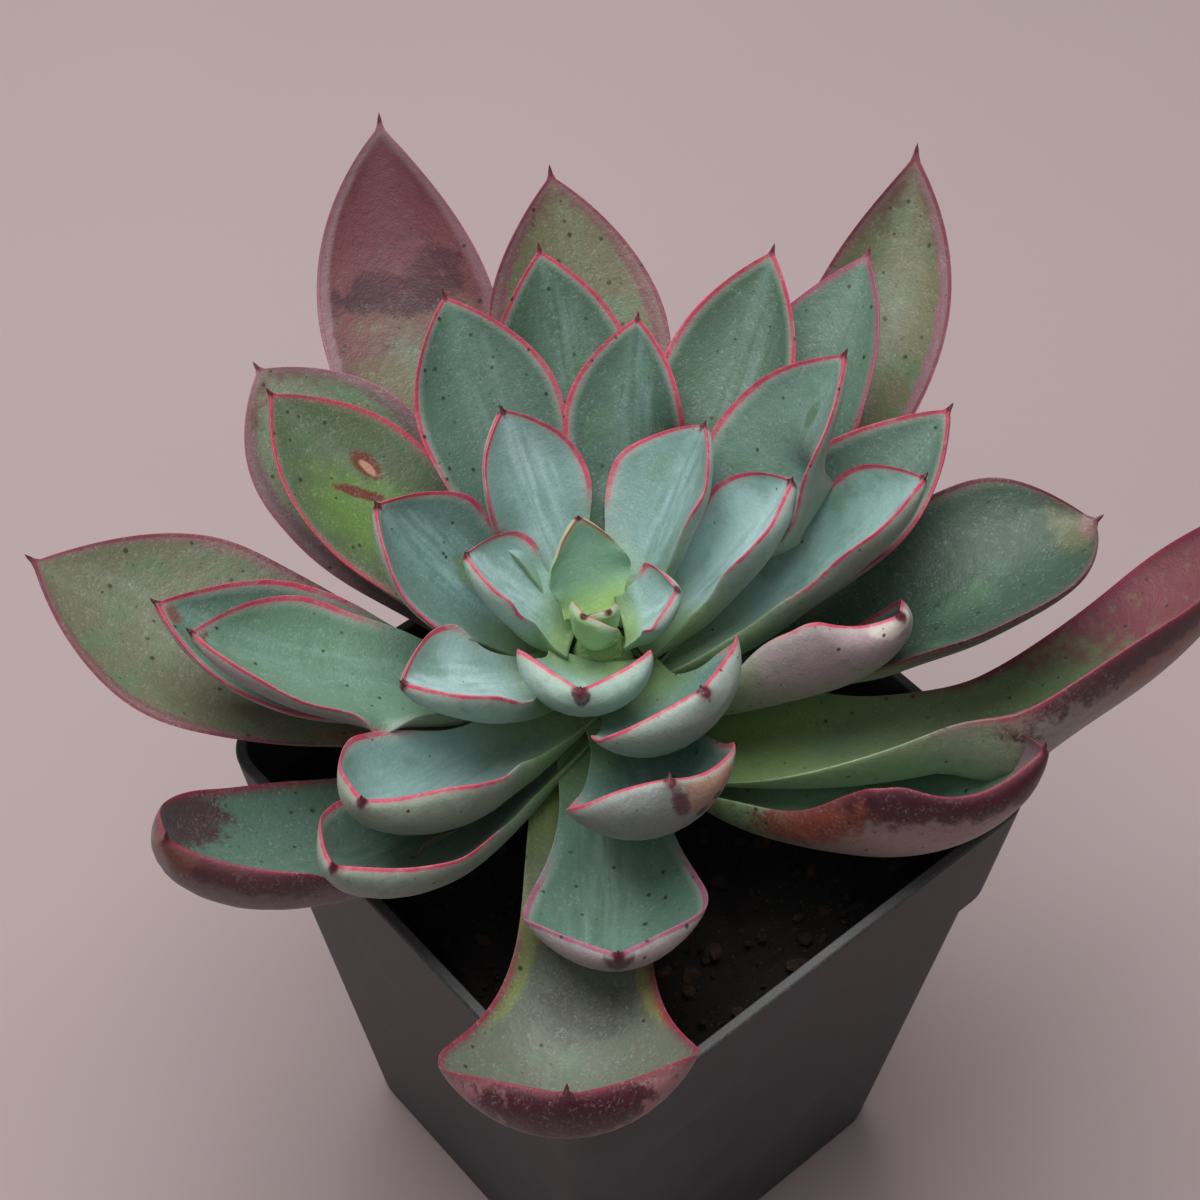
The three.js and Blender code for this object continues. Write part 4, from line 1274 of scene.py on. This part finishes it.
def _lump_shape() -> tuple[list[tuple[float, float, float]], list[tuple[int, ...]]]:
    """Points and faces of a unit lump: two rings of six and two ends."""
    points = [(0.0, 0.0, -1.0)]
    for z, radius, shift in ((-0.45, 0.9, 0.0), (0.45, 0.85, 0.5)):
        for i in range(6):
            angle = (i + shift) * math.pi / 3
            points.append((radius * math.cos(angle), radius * math.sin(angle), z))
    points.append((0.0, 0.0, 1.0))
    faces = []
    for i in range(6):
        j = (i + 1) % 6
        faces += [(0, 1 + j, 1 + i), (1 + i, 1 + j, 7 + i), (1 + j, 7 + j, 7 + i), (13, 7 + i, 7 + j)]
    return points, faces


LUMP_POINTS, LUMP_FACES = _lump_shape()


def lump_points(draw: random.Random) -> list[tuple[float, float, float]]:
    """Points of a lump, each moved a little at random."""
    return [tuple(part * draw.uniform(0.72, 1.12) for part in point) for point in LUMP_POINTS]


@dataclass(frozen=True)
class Lamp:
    """A soft square light that looks at the plant.

    Args:
        name: its name.
        place: its place in metres.
        size: its width in metres.
        power: its power in watts.
        colour: its colour.
    """

    name: str
    place: tuple[float, float, float]
    size: float
    power: float
    colour: Colour

    def build(self) -> None:
        """Make the light."""
        data = bpy.data.lights.new(self.name, "AREA")
        data.size, data.energy, data.color = self.size, self.power, self.colour
        lamp = bpy.data.objects.new(self.name, data)
        lamp.location = self.place
        target = Vector((0, 0, POT_HEIGHT * MM))
        lamp.rotation_euler = (target - lamp.location).to_track_quat("-Z", "Y").to_euler()
        bpy.context.scene.collection.objects.link(lamp)


@dataclass(frozen=True)
class Studio:
    """Plain pale floor, soft lights and the camera at the photograph's viewing angle.

    Args:
        floor_colour: colour of the floor.
        floor_shade: the darker colour in it.
        floor_half: half of the floor's width in metres.
        sky: colour of the light from all round.
        sky_strength: strength of that light.
        lamps: the soft lights.
        camera_place: place of the camera in millimetres.
        camera_tilt: how far the camera looks up from straight down, in degrees.
        camera_turn: its turn about the upright axis, in degrees.
        lens: focal length in millimetres.
        sensor: width of the sensor in millimetres.
    """

    floor_colour: Colour = srgb(160, 144, 145)
    floor_shade: Colour = srgb(150, 136, 137)
    floor_half: float = 3.0
    sky: Colour = srgb(226, 224, 226)
    sky_strength: float = 0.27
    lamps: tuple[Lamp, ...] = (
        Lamp("key", (0.03, 0.17, 0.7), 0.6, 7.0, (1.0, 0.99, 0.98)),
        Lamp("fill", (-0.4, -0.3, 0.6), 0.6, 0.9, (1.0, 0.97, 0.96)),
    )
    camera_place: tuple[float, float, float] = (-114.7, -129.4, 312.2)
    camera_tilt: float = 40.3
    camera_turn: float = -40.5
    lens: float = 73.29
    sensor: float = 36.0

    def build(self) -> None:
        """Make the floor, the lights, the world and the camera."""
        self.floor()
        for lamp in self.lamps:
            lamp.build()
        world = bpy.data.worlds.new("studio")
        world.use_nodes = True
        sky = world.node_tree.nodes["Background"]
        sky.inputs["Color"].default_value = (*self.sky, 1)
        sky.inputs["Strength"].default_value = self.sky_strength
        bpy.context.scene.world = world
        data = bpy.data.cameras.new("camera")
        data.lens, data.sensor_width = self.lens, self.sensor
        data.clip_start, data.clip_end = 0.01, 10.0
        camera = bpy.data.objects.new("camera", data)
        camera.location = Vector(self.camera_place) * MM
        camera.rotation_euler = (math.radians(self.camera_tilt), 0, math.radians(self.camera_turn))
        bpy.context.scene.collection.objects.link(camera)
        bpy.context.scene.camera = camera
        bpy.context.scene.view_settings.view_transform = "Standard"
        LOG.info("studio ready")

    def floor(self) -> None:
        """A wide plain sheet under the pot."""
        size = self.floor_half
        corners = [(-size, -size, 0), (size, -size, 0), (size, size, 0), (-size, size, 0)]
        sheet = make_piece("floor", corners, [(0, 1, 2, 3)])
        g = Graph("floor_sheet")
        broad = g.noise(g.place(), 0.01, 2.0)
        colour = g.mix(self.floor_colour, self.floor_shade, broad * 0.4)
        fixed = {"Specular IOR Level": 0.2, "Roughness": 0.8}
        sheet.data.materials.append(g.finish(fixed, base_color=colour))
        sheet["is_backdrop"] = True


def main() -> None:
    """Dress the frame."""
    logging.basicConfig(level=logging.INFO, format="%(message)s")
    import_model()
    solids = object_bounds()
    Studio().build()
    pot = Pot()
    pot.build()
    Soil().build(pot)
    Stem().build()
    Rosette().build(solids)


if __name__ == "__main__":
    main()
